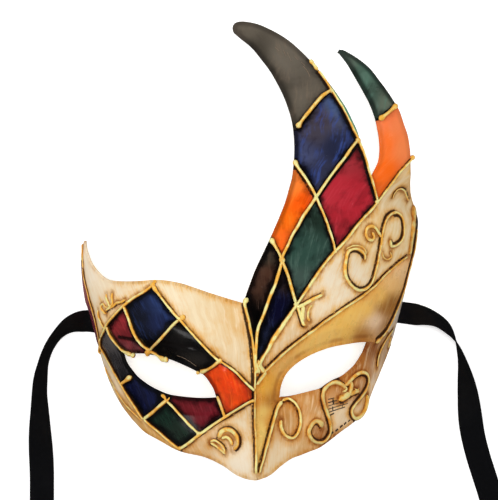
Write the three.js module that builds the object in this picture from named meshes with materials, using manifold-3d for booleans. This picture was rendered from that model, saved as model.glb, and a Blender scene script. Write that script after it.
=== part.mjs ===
// A carnival half mask of papier-mache with two tall horns, raised gold lines and two tying ribbons.
// Millimetres. The mask lies face up on its temple edges: +X to the viewer's right, +Y up the face to the
// horns, +Z out of the face. The origin is on the floor, under the middle of the mask's own box.

import * as THREE from 'three';
import { mergeVertices } from 'three/addons/utils/BufferGeometryUtils.js';
import Module from 'manifold-3d';

const wasm = await Module();
wasm.setup();

// Driving dimensions
const wall = 2.4;              // the moulded shell's thickness
const faceDepth = 62;          // floor to the brow, along the middle of the face
const templeAngle = 76;        // degrees that the cross-section turns, from the brow to a temple's edge
const hornLean = 14;           // how far the crest leans back by the top of the great horn
const noseHeight = 19;         // how far the nose ridge stands out at the lower edge
const socketDepth = 5.5;       // how far the brow rolls in to the upper edge of an eye
const lidDepth = 2.5;          // the same at the lower edge
const socketWidth = 8;
const browSwell = 2.2;         // the brow's swell above an eye
const edgeRoll = 3;            // how far the shell's edge turns back
const edgeRollWidth = 12;
const beadWidth = 2.2;         // a raised line of gesso
const beadHeight = 1.3;        // above the shell
const beadRoot = 1.1;          // sunk into it
const blobWidth = 3.4;         // the drop at a line's free end
const blobHeight = 1.9;
const dropReach = 0.9;         // how far a drop runs past its line's end
const footSpread = 0.6;        // half a line's spread at its root, as a share of its width
const ribbonWidth = 12.6;
const ribbonThickness = 0.8;
const archHeight = 3.4;        // the temple's edge clears the ribbon by this much
const archLength = 19;
const coilOuterRadius = 34.5;  // to the middle of the ribbon, in a coil's outermost turn
const coilTurnGap = 4.8;       // between one turn and the next
const coilTurns = 1.75;
const coilLead = 24;           // from the end of a ribbon's straight run to level with its coil's middle
const facetStep = 6.5;         // of the shell's facets round the eyes and the nose
const broadFacetStep = 12;     // on the crest and the temples
const outlineStep = 5.5;       // of the cut edges
const lineStep = 10;           // of a long raised line
const scrollStep = 4.6;        // of a scroll

// The outlines are drawn on a picture plane, in its pixels: x to the right, y down.
// An eye 800 mm above the floor looks straight down on it, turned a little about the line of sight.
const pixelSize = 0.522;       // mm on the floor
const pictureMiddle = [249, 250];
const eyeHeight = 800;
const pictureRoll = THREE.MathUtils.degToRad(3.6);
const pictureOffset = [-0.4, -1.95];   // where the eye stands over the floor
const ridgeX = -3.8;           // the nose ridge's place across the face

function rayThrough([px, py]) {
  const across = (px - pictureMiddle[0]) * pixelSize;
  const up = (pictureMiddle[1] - py) * pixelSize;
  const c = Math.cos(pictureRoll);
  const s = Math.sin(pictureRoll);
  return [across * c + up * s, up * c - across * s];
}

function alongRay(pixel, z) {
  const [rx, ry] = rayThrough(pixel);
  const share = (eyeHeight - z) / eyeHeight;
  return [pictureOffset[0] + rx * share, pictureOffset[1] + ry * share, z];
}

function pixelOf([x, y, z]) {
  const grow = eyeHeight / (eyeHeight - z);
  const rx = (x - pictureOffset[0]) * grow;
  const ry = (y - pictureOffset[1]) * grow;
  const c = Math.cos(pictureRoll);
  const s = Math.sin(pictureRoll);
  return [pictureMiddle[0] + (rx * c - ry * s) / pixelSize, pictureMiddle[1] - (rx * s + ry * c) / pixelSize];
}

// A smooth function through [place, value] pairs, level beyond both ends
function profile(pairs) {
  const rows = [...pairs].sort((a, b) => a[0] - b[0]);
  const last = rows.length - 1;
  const slopes = rows.map((row, i) => {
    const before = rows[Math.max(i - 1, 0)];
    const after = rows[Math.min(i + 1, last)];
    return i === 0 || i === last ? 0 : (after[1] - before[1]) / (after[0] - before[0]);
  });
  return (place) => {
    if (place <= rows[0][0]) return rows[0][1];
    if (place >= rows[last][0]) return rows[last][1];
    const i = rows.findIndex((row) => row[0] > place) - 1;
    const span = rows[i + 1][0] - rows[i][0];
    const t = (place - rows[i][0]) / span;
    const rise = t * t * (3 - 2 * t);
    return rows[i][1] * (1 - rise) + rows[i + 1][1] * rise
      + span * (slopes[i] * t * (1 - t) ** 2 - slopes[i + 1] * t * t * (1 - t));
  };
}

// Outlines, in pixels of the picture plane
const leftTempleEdge = [[83.5, 240], [81, 255], [81, 268], [82, 283], [84, 297], [87, 310], [91, 325], [95, 337],
  [99.5, 352]];
const rightTempleEdge = [[414, 204], [418, 219], [417.5, 232], [415.5, 246], [412, 262], [408, 278], [405, 292],
  [402, 308], [398, 323], [394, 335], [391, 345]];
const lowerEdge = [[99.5, 352], [103, 364], [110, 383], [122, 404], [137, 422], [156, 436], [180, 449], [204, 455],
  [222, 463], [237, 474], [254, 479], [268, 476], [281, 465], [296, 456], [318, 447], [332, 438], [347, 427],
  [360, 416], [369, 400], [376, 384], [384, 363], [391, 345]];
const upperLeftEdge = [[244, 304], [212, 294.5], [182, 284], [156, 280], [125, 282], [106, 278], [92, 264],
  [83.5, 240]];
const innerHornEdge = [[233, 32], [251, 47], [270, 71], [283, 95], [291, 120], [294.5, 150], [291, 182], [281, 214],
  [269, 240], [256, 270], [244, 304]];
const outerHornEdge = [[371, 179], [366, 158], [358, 132], [347, 109], [333, 88], [318, 69], [301, 51], [282, 36],
  [262, 26], [245, 22], [236, 23], [232, 28], [233, 32]];
const innerSmallHornEdge = [[337, 50.5], [353, 75], [368, 102], [376, 125], [379, 148], [377, 165], [371, 179]];
const outerSmallHornEdge = [[414, 204], [412, 188], [411, 158], [406, 130], [394, 104], [379, 82], [360, 60],
  [344, 50], [337, 50.5]];

// Past a temple the cut runs clear of its edge, which the floor trims
const leftTempleBypass = [[83.5, 240], [70, 238], [66, 300], [80, 348], [99.5, 352]];
const rightTempleBypass = [[391, 345], [412, 344], [428, 300], [430, 215], [414, 204]];

const leftEye = {
  upper: [[122, 354], [135, 353], [150, 354], [170, 359], [190, 367.5], [204, 375], [212, 385], [217, 398]],
  lower: [[217, 398], [196, 398.5], [176, 396.5], [160, 391], [144, 382], [130, 368], [122, 354]],
};
const rightEye = {
  upper: [[279, 398], [282, 381], [290, 368], [306, 357], [330, 347], [352, 343], [369, 341.5]],
  lower: [[369, 341.5], [362, 357], [350, 371], [336, 380], [321, 389], [300, 394.5], [279, 398]],
};

// Raised lines: drop is the end that finishes in a drop, and a scroll has shorter steps
const lines = [
  { points: [[309, 60], [319, 72], [331, 89], [344, 111], [358, 140], [366, 160], [372, 182], [377, 202]],
    drop: 'start' },
  { points: [[297, 128], [308, 113], [322, 96], [331, 90]], drop: 'start' },
  { points: [[358, 140], [345, 157], [327, 181], [316, 197], [302, 219], [289, 243], [282, 262], [276, 282],
    [267, 305], [259, 326], [256, 348], [255, 362]] },
  { points: [[295, 160], [304, 176], [316, 197], [325, 219], [335, 251]] },
  { points: [[271, 238], [282, 261], [289, 278], [296, 304]], drop: 'start' },
  { points: [[412, 158], [400, 171], [377, 202], [356, 227], [335, 251], [316, 275], [296, 305], [274, 338],
    [257, 368]] },
  { points: [[246, 303], [250, 330], [253, 354], [254, 388], [255, 432], [256, 472]] },
  { points: [[379, 119], [388, 112], [396, 105]], drop: 'start' },
  { points: [[262, 373], [276, 360], [300, 340], [324, 322], [362, 296], [380, 279], [406, 257]] },
  { points: [[414, 208], [413, 222], [412, 240], [409, 262], [404, 288], [397, 312], [387, 331], [375, 342]],
    drop: 'end' },
  { points: [[153, 286], [173, 312], [196, 338], [220, 361], [238, 374], [250, 387]], drop: 'start' },
  { points: [[153, 286], [134, 298], [118, 312], [105, 329], [101, 345], [110, 364], [121, 384], [139, 412],
    [161, 433], [180, 448]] },
  { points: [[124, 306], [130, 321], [137, 338], [150, 350]] },
  { points: [[180, 320], [166, 333], [150, 350]] },
  { isScroll: true, points: [[107, 328], [111, 337], [121, 349], [133, 352]], drop: 'end' },
  { points: [[150, 350], [160, 354], [170, 357]], drop: 'end' },
  { points: [[220, 361], [212, 366], [202, 371]], drop: 'end' },
  { points: [[252.5, 401], [224, 418], [199, 434], [180, 448]] },
  { points: [[121, 384], [127, 380], [133, 376]], drop: 'end' },
  { points: [[144, 418], [156, 410], [167, 400]], drop: 'end' },
  { points: [[167, 400], [180, 415], [199, 434]] },
  { points: [[218, 400], [221, 408], [225, 418]] },
  { points: [[84, 245], [83.5, 262], [86, 281], [91, 303], [96, 325], [101, 345]] },
  { isScroll: true, points: [[258, 470], [265, 449], [271, 427], [278, 407], [288, 399], [297, 406],
    [300, 421], [292, 437], [283, 431], [281, 420]] },
  { isScroll: true, points: [[321, 428], [315, 421], [309, 431], [316, 441], [328, 437], [329, 422],
    [323, 404], [325, 389], [335, 382], [344, 388], [351, 381], [361, 374], [367, 381], [361, 395],
    [351, 408], [355, 418], [364, 411], [367, 398]] },
  { points: [[338, 400], [348, 397], [360, 394]] },
  { isScroll: true, points: [[364, 259], [359, 250], [349, 252], [345, 268], [350, 284], [360, 290],
    [371, 281], [378, 258], [382, 231], [389, 215], [399, 215], [403, 228], [397, 244], [390, 243]] },
  { isScroll: true, points: [[381, 236], [374, 227], [366, 230], [369, 239]] },
  { isScroll: true, points: [[394, 197], [400, 188], [407, 199]] },
  { points: [[297, 306], [310, 301], [322, 295]] },
  { points: [[298, 308], [300, 317], [305, 325]] },
  { points: [[388, 334], [380, 349], [377, 366]] },
  { isScroll: true, points: [[99, 320], [101, 310], [108, 304], [115, 303], [124, 301]] },
  { isScroll: true, points: [[213, 442], [217, 431], [230, 429], [238, 438], [232, 450], [226, 453]] },
  { isScroll: true, points: [[219, 441], [227, 437], [230, 443], [222, 450]] },
];

// The ribbons' routes over the floor, in pixels: from under a temple to past the picture's lower edge
const leftRibbonRoute = [[104, 323], [94, 321.5], [84, 321], [72, 324], [61, 332], [52, 344], [46, 358], [42.5, 374],
  [41, 392], [41, 410], [41, 430], [41.5, 450], [42, 470], [42, 490], [42, 508], [42, 522], [42, 534]];
const rightRibbonRoute = [[392, 311], [402, 312.5], [413, 314], [426, 316], [438, 321], [448, 330], [455, 342],
  [460, 357], [464, 376], [467, 396], [469.5, 416], [473, 436], [478, 456], [484, 475], [490, 494], [494, 511],
  [496, 528], [496.5, 540]];

// Where the ribbons pass under the temples' edges
const ribbonExits = [[91, 321], [401, 312.5]];

// The face without its features: a deep arch across, as wide at the floor as the temples are apart
const edgeSide = (points) => points.map((pixel) => alongRay(pixel, 0)).map(([x, y]) => [y, Math.abs(x - ridgeX)]);
const leftHalfWidth = profile([...edgeSide(leftTempleEdge), [-80, 78], [-118, 74]]);
const rightHalfWidth = profile([...edgeSide(rightTempleEdge), [-78, 74], [-118, 70],
  [24, 98], [31, 108], [42, 120], [60, 127], [112, 132]]);
const crestHeight = profile([[-40, faceDepth], [0, faceDepth - 1.5], [50, faceDepth - hornLean * 0.75],
  [115, faceDepth - hornLean]]);
const turn = THREE.MathUtils.degToRad(templeAngle);

function archAt(side, y) {
  const halfWidth = (side < 0 ? leftHalfWidth : rightHalfWidth)(y);
  return { across: halfWidth / Math.sin(turn), drop: crestHeight(y) / (1 - Math.cos(turn)) };
}

function archPoint(angle, y) {
  const { across, drop } = archAt(Math.sign(angle), y);
  return [ridgeX + across * Math.sin(angle), y, crestHeight(y) - drop * (1 - Math.cos(angle))];
}

function archHeightAt(x, y) {
  const { across, drop } = archAt(Math.sign(x - ridgeX), y);
  const s = Math.min(1, Math.abs(x - ridgeX) / across);
  return crestHeight(y) - drop * (1 - Math.sqrt(1 - s * s));
}

// Where the line of sight through a pixel meets that arch
function archThrough(pixel) {
  let z = faceDepth / 2;
  for (let i = 0; i < 60; i += 1) {
    const [x, y] = alongRay(pixel, z);
    z += (archHeightAt(x, y) - z) * 0.8;
  }
  return alongRay(pixel, z);
}

// Curves through hand-drawn points
function smoothLine(points, step) {
  const curve = new THREE.SplineCurve(points.map(([x, y]) => new THREE.Vector2(x, y)));
  const count = Math.max(2, Math.round((curve.getLength() * pixelSize) / step));
  return curve.getSpacedPoints(count).map((p) => [p.x, p.y]);
}

function joined(runs, step) {
  return runs.flatMap((run) => smoothLine(run, step).slice(0, -1));
}

function distanceTo(pixel, path, closed) {
  let least = Infinity;
  const count = closed ? path.length : path.length - 1;
  for (let i = 0; i < count; i += 1) {
    const [ax, ay] = path[i];
    const [bx, by] = path[(i + 1) % path.length];
    const ux = bx - ax;
    const uy = by - ay;
    const t = THREE.MathUtils.clamp(((pixel[0] - ax) * ux + (pixel[1] - ay) * uy) / (ux * ux + uy * uy), 0, 1);
    least = Math.min(least, Math.hypot(pixel[0] - ax - ux * t, pixel[1] - ay - uy * t));
  }
  return least * pixelSize * 0.93;
}

function isInside(pixel, path) {
  let inside = false;
  path.forEach(([ax, ay], i) => {
    const [bx, by] = path[(i + 1) % path.length];
    if ((ay > pixel[1]) !== (by > pixel[1]) && pixel[0] < ax + ((bx - ax) * (pixel[1] - ay)) / (by - ay)) {
      inside = !inside;
    }
  });
  return inside;
}

const rolledEdges = [lowerEdge, upperLeftEdge, innerHornEdge, outerHornEdge, innerSmallHornEdge, outerSmallHornEdge]
  .map((run) => smoothLine(run, outlineStep));
const eyes = [leftEye, rightEye].map(({ upper, lower }) => ({
  hole: joined([upper, lower], outlineStep),
  corners: [upper[0], upper[upper.length - 1]],
}));

// Features, as heights over the arch
const noseRise = profile([[-20, 0], [-35, 2.5], [-50, 5], [-64, 7.5], [-85, noseHeight * 0.72], [-110, noseHeight]]);
const noseSpread = profile([[-22, 9], [-64, 13], [-85, 19], [-110, 27]]);

function noseAt(x, y) {
  const share = Math.abs(x - ridgeX) / noseSpread(y);
  return share < 1 ? noseRise(y) * (1 - share) ** 2 : 0;
}

function eyeAt(pixel, { hole, corners }) {
  const near = isInside(pixel, hole) ? 0 : distanceTo(pixel, hole, true);
  const [[ax, ay], [bx, by]] = corners;
  const above = (by - ay) * (pixel[0] - ax) - (bx - ax) * (pixel[1] - ay);
  const over = THREE.MathUtils.smoothstep((above / Math.hypot(bx - ax, by - ay)) * pixelSize, -5, 6);
  const roll = near < socketWidth ? (1 - near / socketWidth) ** 1.3 : 0;
  const swell = browSwell * over * Math.exp(-(((near - 15) / 8) ** 2));
  return swell - roll * THREE.MathUtils.lerp(lidDepth, socketDepth, over);
}

function rollAt(pixel) {
  const near = Math.min(...rolledEdges.map((edge) => distanceTo(pixel, edge, false)));
  return near < edgeRollWidth ? edgeRoll * (1 - near / edgeRollWidth) ** 2 : 0;
}

// The mask's outer face: an arch point is moved along its line of sight by the features there
function withFeatures(point) {
  const pixel = pixelOf(point);
  const rise = noseAt(point[0], point[1]) + eyes.reduce((sum, eye) => sum + eyeAt(pixel, eye), 0) - rollAt(pixel);
  return alongRay(pixel, point[2] + rise * THREE.MathUtils.smoothstep(point[2], 2, 14));
}

const skin = (pixel) => new THREE.Vector3(...withFeatures(archThrough(pixel)));

function skinNormal(pixel) {
  const reach = 1;
  const across = skin([pixel[0] + reach, pixel[1]]).sub(skin([pixel[0] - reach, pixel[1]]));
  const up = skin([pixel[0], pixel[1] - reach]).sub(skin([pixel[0], pixel[1] + reach]));
  return across.cross(up).normalize();
}

// Solids
function toSolid(positions, triangles) {
  return new wasm.Manifold(new wasm.Mesh({
    numProp: 3, vertProperties: new Float32Array(positions), triVerts: new Uint32Array(triangles),
  }));
}

function geometryToSolid(geometry) {
  geometry.deleteAttribute('normal');
  geometry.deleteAttribute('uv');
  const merged = mergeVertices(geometry, 1e-4);
  return toSolid(merged.getAttribute('position').array, merged.index.array);
}

function solidToGeometry(solid) {
  const mesh = solid.getMesh();
  const geometry = new THREE.BufferGeometry();
  geometry.setAttribute('position', new THREE.BufferAttribute(mesh.vertProperties, 3));
  geometry.setIndex(new THREE.BufferAttribute(mesh.triVerts, 1));
  geometry.computeVertexNormals();
  return geometry;
}

// Places from one end to the other, about a step apart
function stepped(from, to, step) {
  const count = Math.round((to - from) / step);
  return Array.from({ length: count }, (_, i) => from + ((to - from) * i) / count);
}

// The whole sheet that the mask is cut from: its face, and its back one wall behind it
function makeSheet() {
  const reach = turn + THREE.MathUtils.degToRad(4);
  const cheek = THREE.MathUtils.degToRad(46);      // how far the fine facets reach
  const archRadius = 88;                           // roughly, to turn steps into angles
  const half = [...stepped(0, cheek, facetStep / archRadius), ...stepped(cheek, reach, broadFacetStep / archRadius),
    reach];
  const angles = [...half.slice(1).reverse().map((angle) => -angle), ...half];
  const [low, bridge, high] = [-118, -18, 122];    // along the face: past both ends, and over the eyes
  const places = [...stepped(low, bridge, facetStep), ...stepped(bridge, high, broadFacetStep), high];
  const face = [];
  const back = [];
  places.forEach((y) => angles.forEach((angle) => {
    const { across, drop } = archAt(Math.sign(angle), y);
    const inward = new THREE.Vector3(Math.sin(angle) * drop, 0, Math.cos(angle) * across).normalize();
    const outer = new THREE.Vector3(...withFeatures(archPoint(angle, y)));
    face.push(...outer.toArray());
    back.push(...outer.addScaledVector(inward, -wall).toArray());
  }));
  const wide = angles.length;
  const tall = places.length;
  const rows = tall - 1;
  const total = wide * tall;
  const triangles = [];
  const quad = (a, b, c, d) => triangles.push(a, b, c, a, c, d);
  for (let j = 0; j < rows; j += 1) {
    for (let i = 0; i < wide - 1; i += 1) {
      const a = j * wide + i;
      quad(a, a + 1, a + wide + 1, a + wide);
      quad(total + a, total + a + wide, total + a + wide + 1, total + a + 1);
    }
  }
  const rim = [];
  for (let i = 0; i < wide - 1; i += 1) rim.push(i);
  for (let j = 0; j < rows; j += 1) rim.push(j * wide + wide - 1);
  for (let i = wide - 1; i > 0; i -= 1) rim.push(rows * wide + i);
  for (let j = rows; j > 0; j -= 1) rim.push(j * wide);
  rim.forEach((a, n) => {
    const b = rim[(n + 1) % rim.length];
    quad(a, total + a, total + b, b);
  });
  return toSolid([...face, ...back], triangles);
}

// A cut along the lines of sight through a closed path of pixels
function makeCut(path) {
  const shape = new THREE.Shape(path.map((pixel) => new THREE.Vector2(...rayThrough(pixel))));
  const low = -30;               // both ends stand clear of the sheet
  const high = 120;
  const geometry = new THREE.ExtrudeGeometry(shape, { depth: high - low, bevelEnabled: false, steps: 1 });
  const place = geometry.getAttribute('position');
  for (let i = 0; i < place.count; i += 1) {
    const z = low + place.getZ(i);
    const share = (eyeHeight - z) / eyeHeight;
    place.setXYZ(i, pictureOffset[0] + place.getX(i) * share, pictureOffset[1] + place.getY(i) * share, z);
  }
  return geometryToSolid(geometry);
}

// A raised line of gesso: a low ridge that follows the face, with a drop at a free end
function makeBead({ points, drop, isScroll }) {
  const path = smoothLine(points, isScroll ? scrollStep : lineStep);
  const last = path.length - 1;
  const positions = [];
  const rings = path.map((pixel) => ({ at: skin(pixel), normal: skinNormal(pixel) }));
  rings.forEach(({ at, normal }, i) => {
    const along = rings[Math.min(i + 1, last)].at.clone().sub(rings[Math.max(i - 1, 0)].at).normalize();
    const side = along.clone().cross(normal).normalize();
    const isDrop = (drop === 'start' && i === 0) || (drop === 'end' && i === last);
    const width = isDrop ? blobWidth : beadWidth;
    const height = isDrop ? blobHeight : beadHeight;
    const middle = at.clone();
    if (isDrop) middle.addScaledVector(along, drop === 'start' ? -dropReach : dropReach);
    [-1, 1].forEach((hand) => {
      const foot = skin(pixelOf(middle.clone().addScaledVector(side, hand * width * footSpread).toArray()));
      positions.push(...foot.addScaledVector(normal, -beadRoot).toArray());
    });
    positions.push(...middle.addScaledVector(normal, height).toArray());
  });
  const triangles = [0, 1, 2];
  for (let i = 0; i < last; i += 1) {
    for (let k = 0; k < 3; k += 1) {
      const a = i * 3 + k;
      const b = i * 3 + ((k + 1) % 3);
      triangles.push(a, a + 3, b + 3, a, b + 3, b);
    }
  }
  triangles.push(last * 3, last * 3 + 2, last * 3 + 1);
  return toSolid(positions, triangles);
}

function makeFloor() {
  const [spread, deep] = [500, 60];
  const geometry = new THREE.BoxGeometry(spread, spread, deep);
  geometry.translate(0, 0, -deep / 2);
  return geometryToSolid(geometry);
}

// The low arch in a temple's edge that a ribbon passes under
function makeArch(pixel) {
  const [x, y] = alongRay(pixel, 0);
  const shape = new THREE.Shape();
  shape.absellipse(0, 0, archLength / 2, archHeight, 0, Math.PI * 2);
  const through = 30;            // from inside the shell to outside it
  const geometry = new THREE.ExtrudeGeometry(shape, { depth: through, bevelEnabled: false, curveSegments: 10 });
  geometry.translate(0, 0, -through / 2);
  geometry.rotateX(Math.PI / 2);
  geometry.rotateZ(Math.PI / 2);
  geometry.translate(x, y, 0);
  return geometryToSolid(geometry);
}

function makeShell() {
  const outline = joined([leftTempleBypass, lowerEdge, rightTempleBypass, outerSmallHornEdge, innerSmallHornEdge,
    outerHornEdge, innerHornEdge, upperLeftEdge], outlineStep);
  let shell = makeSheet().intersect(makeCut(outline));
  eyes.forEach(({ hole }) => { shell = shell.subtract(makeCut(hole)); });
  lines.forEach((line) => { shell = shell.add(makeBead(line)); });
  shell = shell.subtract(makeFloor());
  ribbonExits.forEach((pixel) => { shell = shell.subtract(makeArch(pixel)); });
  return solidToGeometry(shell);
}

// Ribbons
const lift = 0.05;               // clear of the floor, so that the mask rests on its own edges
const ribbonSteps = 17;
const coilSides = 24;

function floorCurve(route, z) {
  return new THREE.CatmullRomCurve3(route.map((pixel) => new THREE.Vector3(...alongRay(pixel, 0)).setZ(z)));
}

function makeRibbon(route) {
  const half = ribbonWidth / 2;
  const thick = ribbonThickness / 2;
  const bevel = thick * 0.6;
  const shape = new THREE.Shape([[-thick, -half + bevel], [-thick + bevel, -half], [thick - bevel, -half],
    [thick, -half + bevel], [thick, half - bevel], [thick - bevel, half], [-thick + bevel, half],
    [-thick, half - bevel]].map(([x, y]) => new THREE.Vector2(x, y)));
  return new THREE.ExtrudeGeometry(shape, { steps: ribbonSteps, extrudePath: floorCurve(route, thick + lift) });
}

function makeCoil(route, side) {
  const end = alongRay(route[route.length - 1], 0);
  const margin = 1.5;            // round the ribbon's own thickness
  const inner = coilOuterRadius - coilTurns * coilTurnGap - margin;
  const outer = coilOuterRadius + margin;
  const ring = new THREE.LatheGeometry([[inner, 0], [outer, 0], [outer, ribbonWidth], [inner, ribbonWidth],
    [inner, 0]].map(([r, h]) => new THREE.Vector2(r, h)), coilSides);
  ring.rotateX(Math.PI / 2);
  ring.translate(end[0] + side * coilOuterRadius, end[1] - coilLead, lift);
  return ring;
}

// Materials and the finished group
const looks = {
  gesso: new THREE.MeshStandardMaterial({ color: 0xd9c39a, roughness: 0.45, metalness: 0.1 }),
  ribbon: new THREE.MeshStandardMaterial({ color: 0x101011, roughness: 0.6, metalness: 0 }),
};

const mask = new THREE.Group();

function addPiece(name, geometry, look) {
  const piece = new THREE.Mesh(geometry, look);
  piece.name = name;
  mask.add(piece);
}

addPiece('mask_shell', makeShell(), looks.gesso);
addPiece('ribbon_left', makeRibbon(leftRibbonRoute), looks.ribbon);
addPiece('ribbon_right', makeRibbon(rightRibbonRoute), looks.ribbon);
addPiece('ribbon_left_coil', makeCoil(leftRibbonRoute, 1), looks.ribbon);
addPiece('ribbon_right_coil', makeCoil(rightRibbonRoute, -1), looks.ribbon);

export default mask;
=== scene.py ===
# A carnival half mask of papier-mache, painted, gilded and varnished, lying face up on a pale floor
import math
import bpy
import numpy as np
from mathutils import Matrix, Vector
from mathutils.geometry import delaunay_2d_cdt


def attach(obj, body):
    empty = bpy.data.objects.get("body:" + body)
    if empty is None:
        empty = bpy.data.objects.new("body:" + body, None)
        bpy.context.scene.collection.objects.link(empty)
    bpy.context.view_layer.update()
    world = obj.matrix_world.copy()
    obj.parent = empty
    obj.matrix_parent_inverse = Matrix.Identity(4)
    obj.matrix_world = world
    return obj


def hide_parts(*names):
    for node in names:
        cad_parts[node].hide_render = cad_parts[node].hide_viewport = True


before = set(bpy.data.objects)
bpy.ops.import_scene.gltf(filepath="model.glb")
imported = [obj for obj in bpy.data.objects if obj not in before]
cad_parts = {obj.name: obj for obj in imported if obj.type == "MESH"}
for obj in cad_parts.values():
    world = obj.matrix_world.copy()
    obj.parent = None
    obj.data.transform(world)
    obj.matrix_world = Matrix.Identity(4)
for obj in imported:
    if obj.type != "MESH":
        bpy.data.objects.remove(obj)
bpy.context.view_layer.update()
rng = np.random.default_rng(27)

# The picture plane: an eye over the floor looks straight down. Shapes are in mm until they become meshes.
view = {
    "pixel": 0.522,            # mm on the floor under one pixel
    "middle": (249, 250),
    "eye": 800,                # mm above the floor
    "roll": math.radians(3.6),
    "offset": (-0.4, -1.95),   # where the eye stands, mm
    "nearer": 0.93,            # a pixel's size on the face, as a share of its size on the floor
    "passes": 50,              # in which a line of sight is brought to the face
    "pull": 0.8,
    "width": 498,
    "sensor": 36,
}


def alongRay(pixels, height):
    pixels = np.asarray(pixels, float)
    across = (pixels[..., 0] - view["middle"][0]) * view["pixel"]
    up = (view["middle"][1] - pixels[..., 1]) * view["pixel"]
    c = math.cos(view["roll"])
    s = math.sin(view["roll"])
    height = np.broadcast_to(np.asarray(height, float), across.shape)
    share = (view["eye"] - height) / view["eye"]
    x = view["offset"][0] + (across * c + up * s) * share
    y = view["offset"][1] + (up * c - across * s) * share
    return np.stack([x, y, height], -1)


def pixelOf(points):
    points = np.asarray(points, float)
    grow = view["eye"] / (view["eye"] - points[..., 2])
    x = (points[..., 0] - view["offset"][0]) * grow
    y = (points[..., 1] - view["offset"][1]) * grow
    c = math.cos(view["roll"])
    s = math.sin(view["roll"])
    px = view["middle"][0] + (x * c - y * s) / view["pixel"]
    py = view["middle"][1] - (x * s + y * c) / view["pixel"]
    return np.stack([px, py], -1)


def makeCamera():
    data = bpy.data.cameras.new("photoCamera")
    data.sensor_fit = "HORIZONTAL"
    data.sensor_width = view["sensor"]
    data.lens = view["sensor"] * view["eye"] / (view["width"] * view["pixel"])
    camera = bpy.data.objects.new("photoCamera", data)
    camera.location = (view["offset"][0] / 1000, view["offset"][1] / 1000, view["eye"] / 1000)
    camera.rotation_euler = (0, 0, -view["roll"])
    bpy.context.collection.objects.link(camera)
    bpy.context.scene.camera = camera


makeCamera()
print("camera made")


# Curves and fields on the picture plane
def profile(pairs):
    rows = np.array(sorted(pairs), float)
    places = rows[:, 0]
    values = rows[:, 1]
    slopes = np.zeros(len(rows))
    slopes[1:-1] = (values[2:] - values[:-2]) / (places[2:] - places[:-2])

    def at(place):
        place = np.clip(place, places[0], places[-1])
        i = np.clip(np.searchsorted(places, place, side="right") - 1, 0, len(rows) - 2)
        span = places[i + 1] - places[i]
        t = (place - places[i]) / span
        rise = t * t * (3 - 2 * t)
        bend = slopes[i] * t * (1 - t) ** 2 - slopes[i + 1] * t * t * (1 - t)
        return values[i] * (1 - rise) + values[i + 1] * rise + span * bend

    return at


def smoothstep(value, low, high):
    t = np.clip((value - low) / (high - low), 0, 1)
    return t * t * (3 - 2 * t)


def smoothPath(points, step=3, samples=24):
    # A Catmull-Rom curve through the points, at even steps in pixels (or mm for points in space)
    p = np.asarray(points, float)
    ahead = np.vstack([p[:1], p, p[-1:]])
    dense = []
    for i in range(len(p) - 1):
        p0, p1, p2, p3 = ahead[i:i + 4]
        t = np.linspace(0, 1, samples, endpoint=False)[:, None]
        v0 = (p2 - p0) / 2
        v1 = (p3 - p1) / 2
        cubic = 2 * p1 - 2 * p2 + v0 + v1
        square = 3 * p2 - 3 * p1 - 2 * v0 - v1
        dense.append(cubic * t**3 + square * t**2 + v0 * t + p1)
    dense.append(p[-1:])
    dense = np.vstack(dense)
    run = np.concatenate([[0], np.cumsum(np.linalg.norm(np.diff(dense, axis=0), axis=1))])
    count = max(2, int(round(run[-1] / step)))
    places = np.linspace(0, run[-1], count + 1)
    return np.stack([np.interp(places, run, dense[:, k]) for k in range(p.shape[1])], -1)


def distanceTo(points, path, closed=False):
    # Distance to a path, the side of it (above 0 to the right as the path runs), and how far along
    path = np.asarray(path, float)
    if closed:
        path = np.vstack([path, path[:1]])
    least = np.full(len(points), np.inf)
    side = np.zeros(len(points))
    along = np.zeros(len(points))
    total = len(path) - 1
    for i in range(total):
        a = path[i]
        u = path[i + 1] - a
        w = points - a
        free = (w @ u) / max(u @ u, 1e-9)
        t = np.clip(free, 0, 1)
        gap = np.hypot(w[:, 0] - u[0] * t, w[:, 1] - u[1] * t)
        near = gap < least
        least[near] = gap[near]
        side[near] = np.sign(u[0] * w[near, 1] - u[1] * w[near, 0])
        along[near] = (i + free[near]) / total
    return least, side, along


def isInside(points, path):
    inside = np.zeros(len(points), bool)
    for a, b in zip(path, np.roll(path, -1, axis=0)):
        spans = (a[1] > points[:, 1]) != (b[1] > points[:, 1])
        cross = a[0] + (b[0] - a[0]) * (points[:, 1] - a[1]) / ((b[1] - a[1]) or 1e-9)
        inside ^= spans & (points[:, 0] < cross)
    return inside


def lumps(points, size, seed, tiles=64):
    # Smooth noise between -1 and 1, with hills about one size across
    table = np.random.default_rng(seed).uniform(-1, 1, (tiles, tiles))
    spot = np.asarray(points, float)[:, :2] / size
    cell = np.floor(spot).astype(int)
    x, y = smoothstep(spot - cell, 0, 1).T
    a, b, c, d = (table[(cell[:, 0] + i) % tiles, (cell[:, 1] + k) % tiles] for k in (0, 1) for i in (0, 1))
    return (a * (1 - x) + b * x) * (1 - y) + (c * (1 - x) + d * x) * y


def unit(vectors):
    return vectors / np.linalg.norm(vectors, axis=1, keepdims=True)


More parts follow.
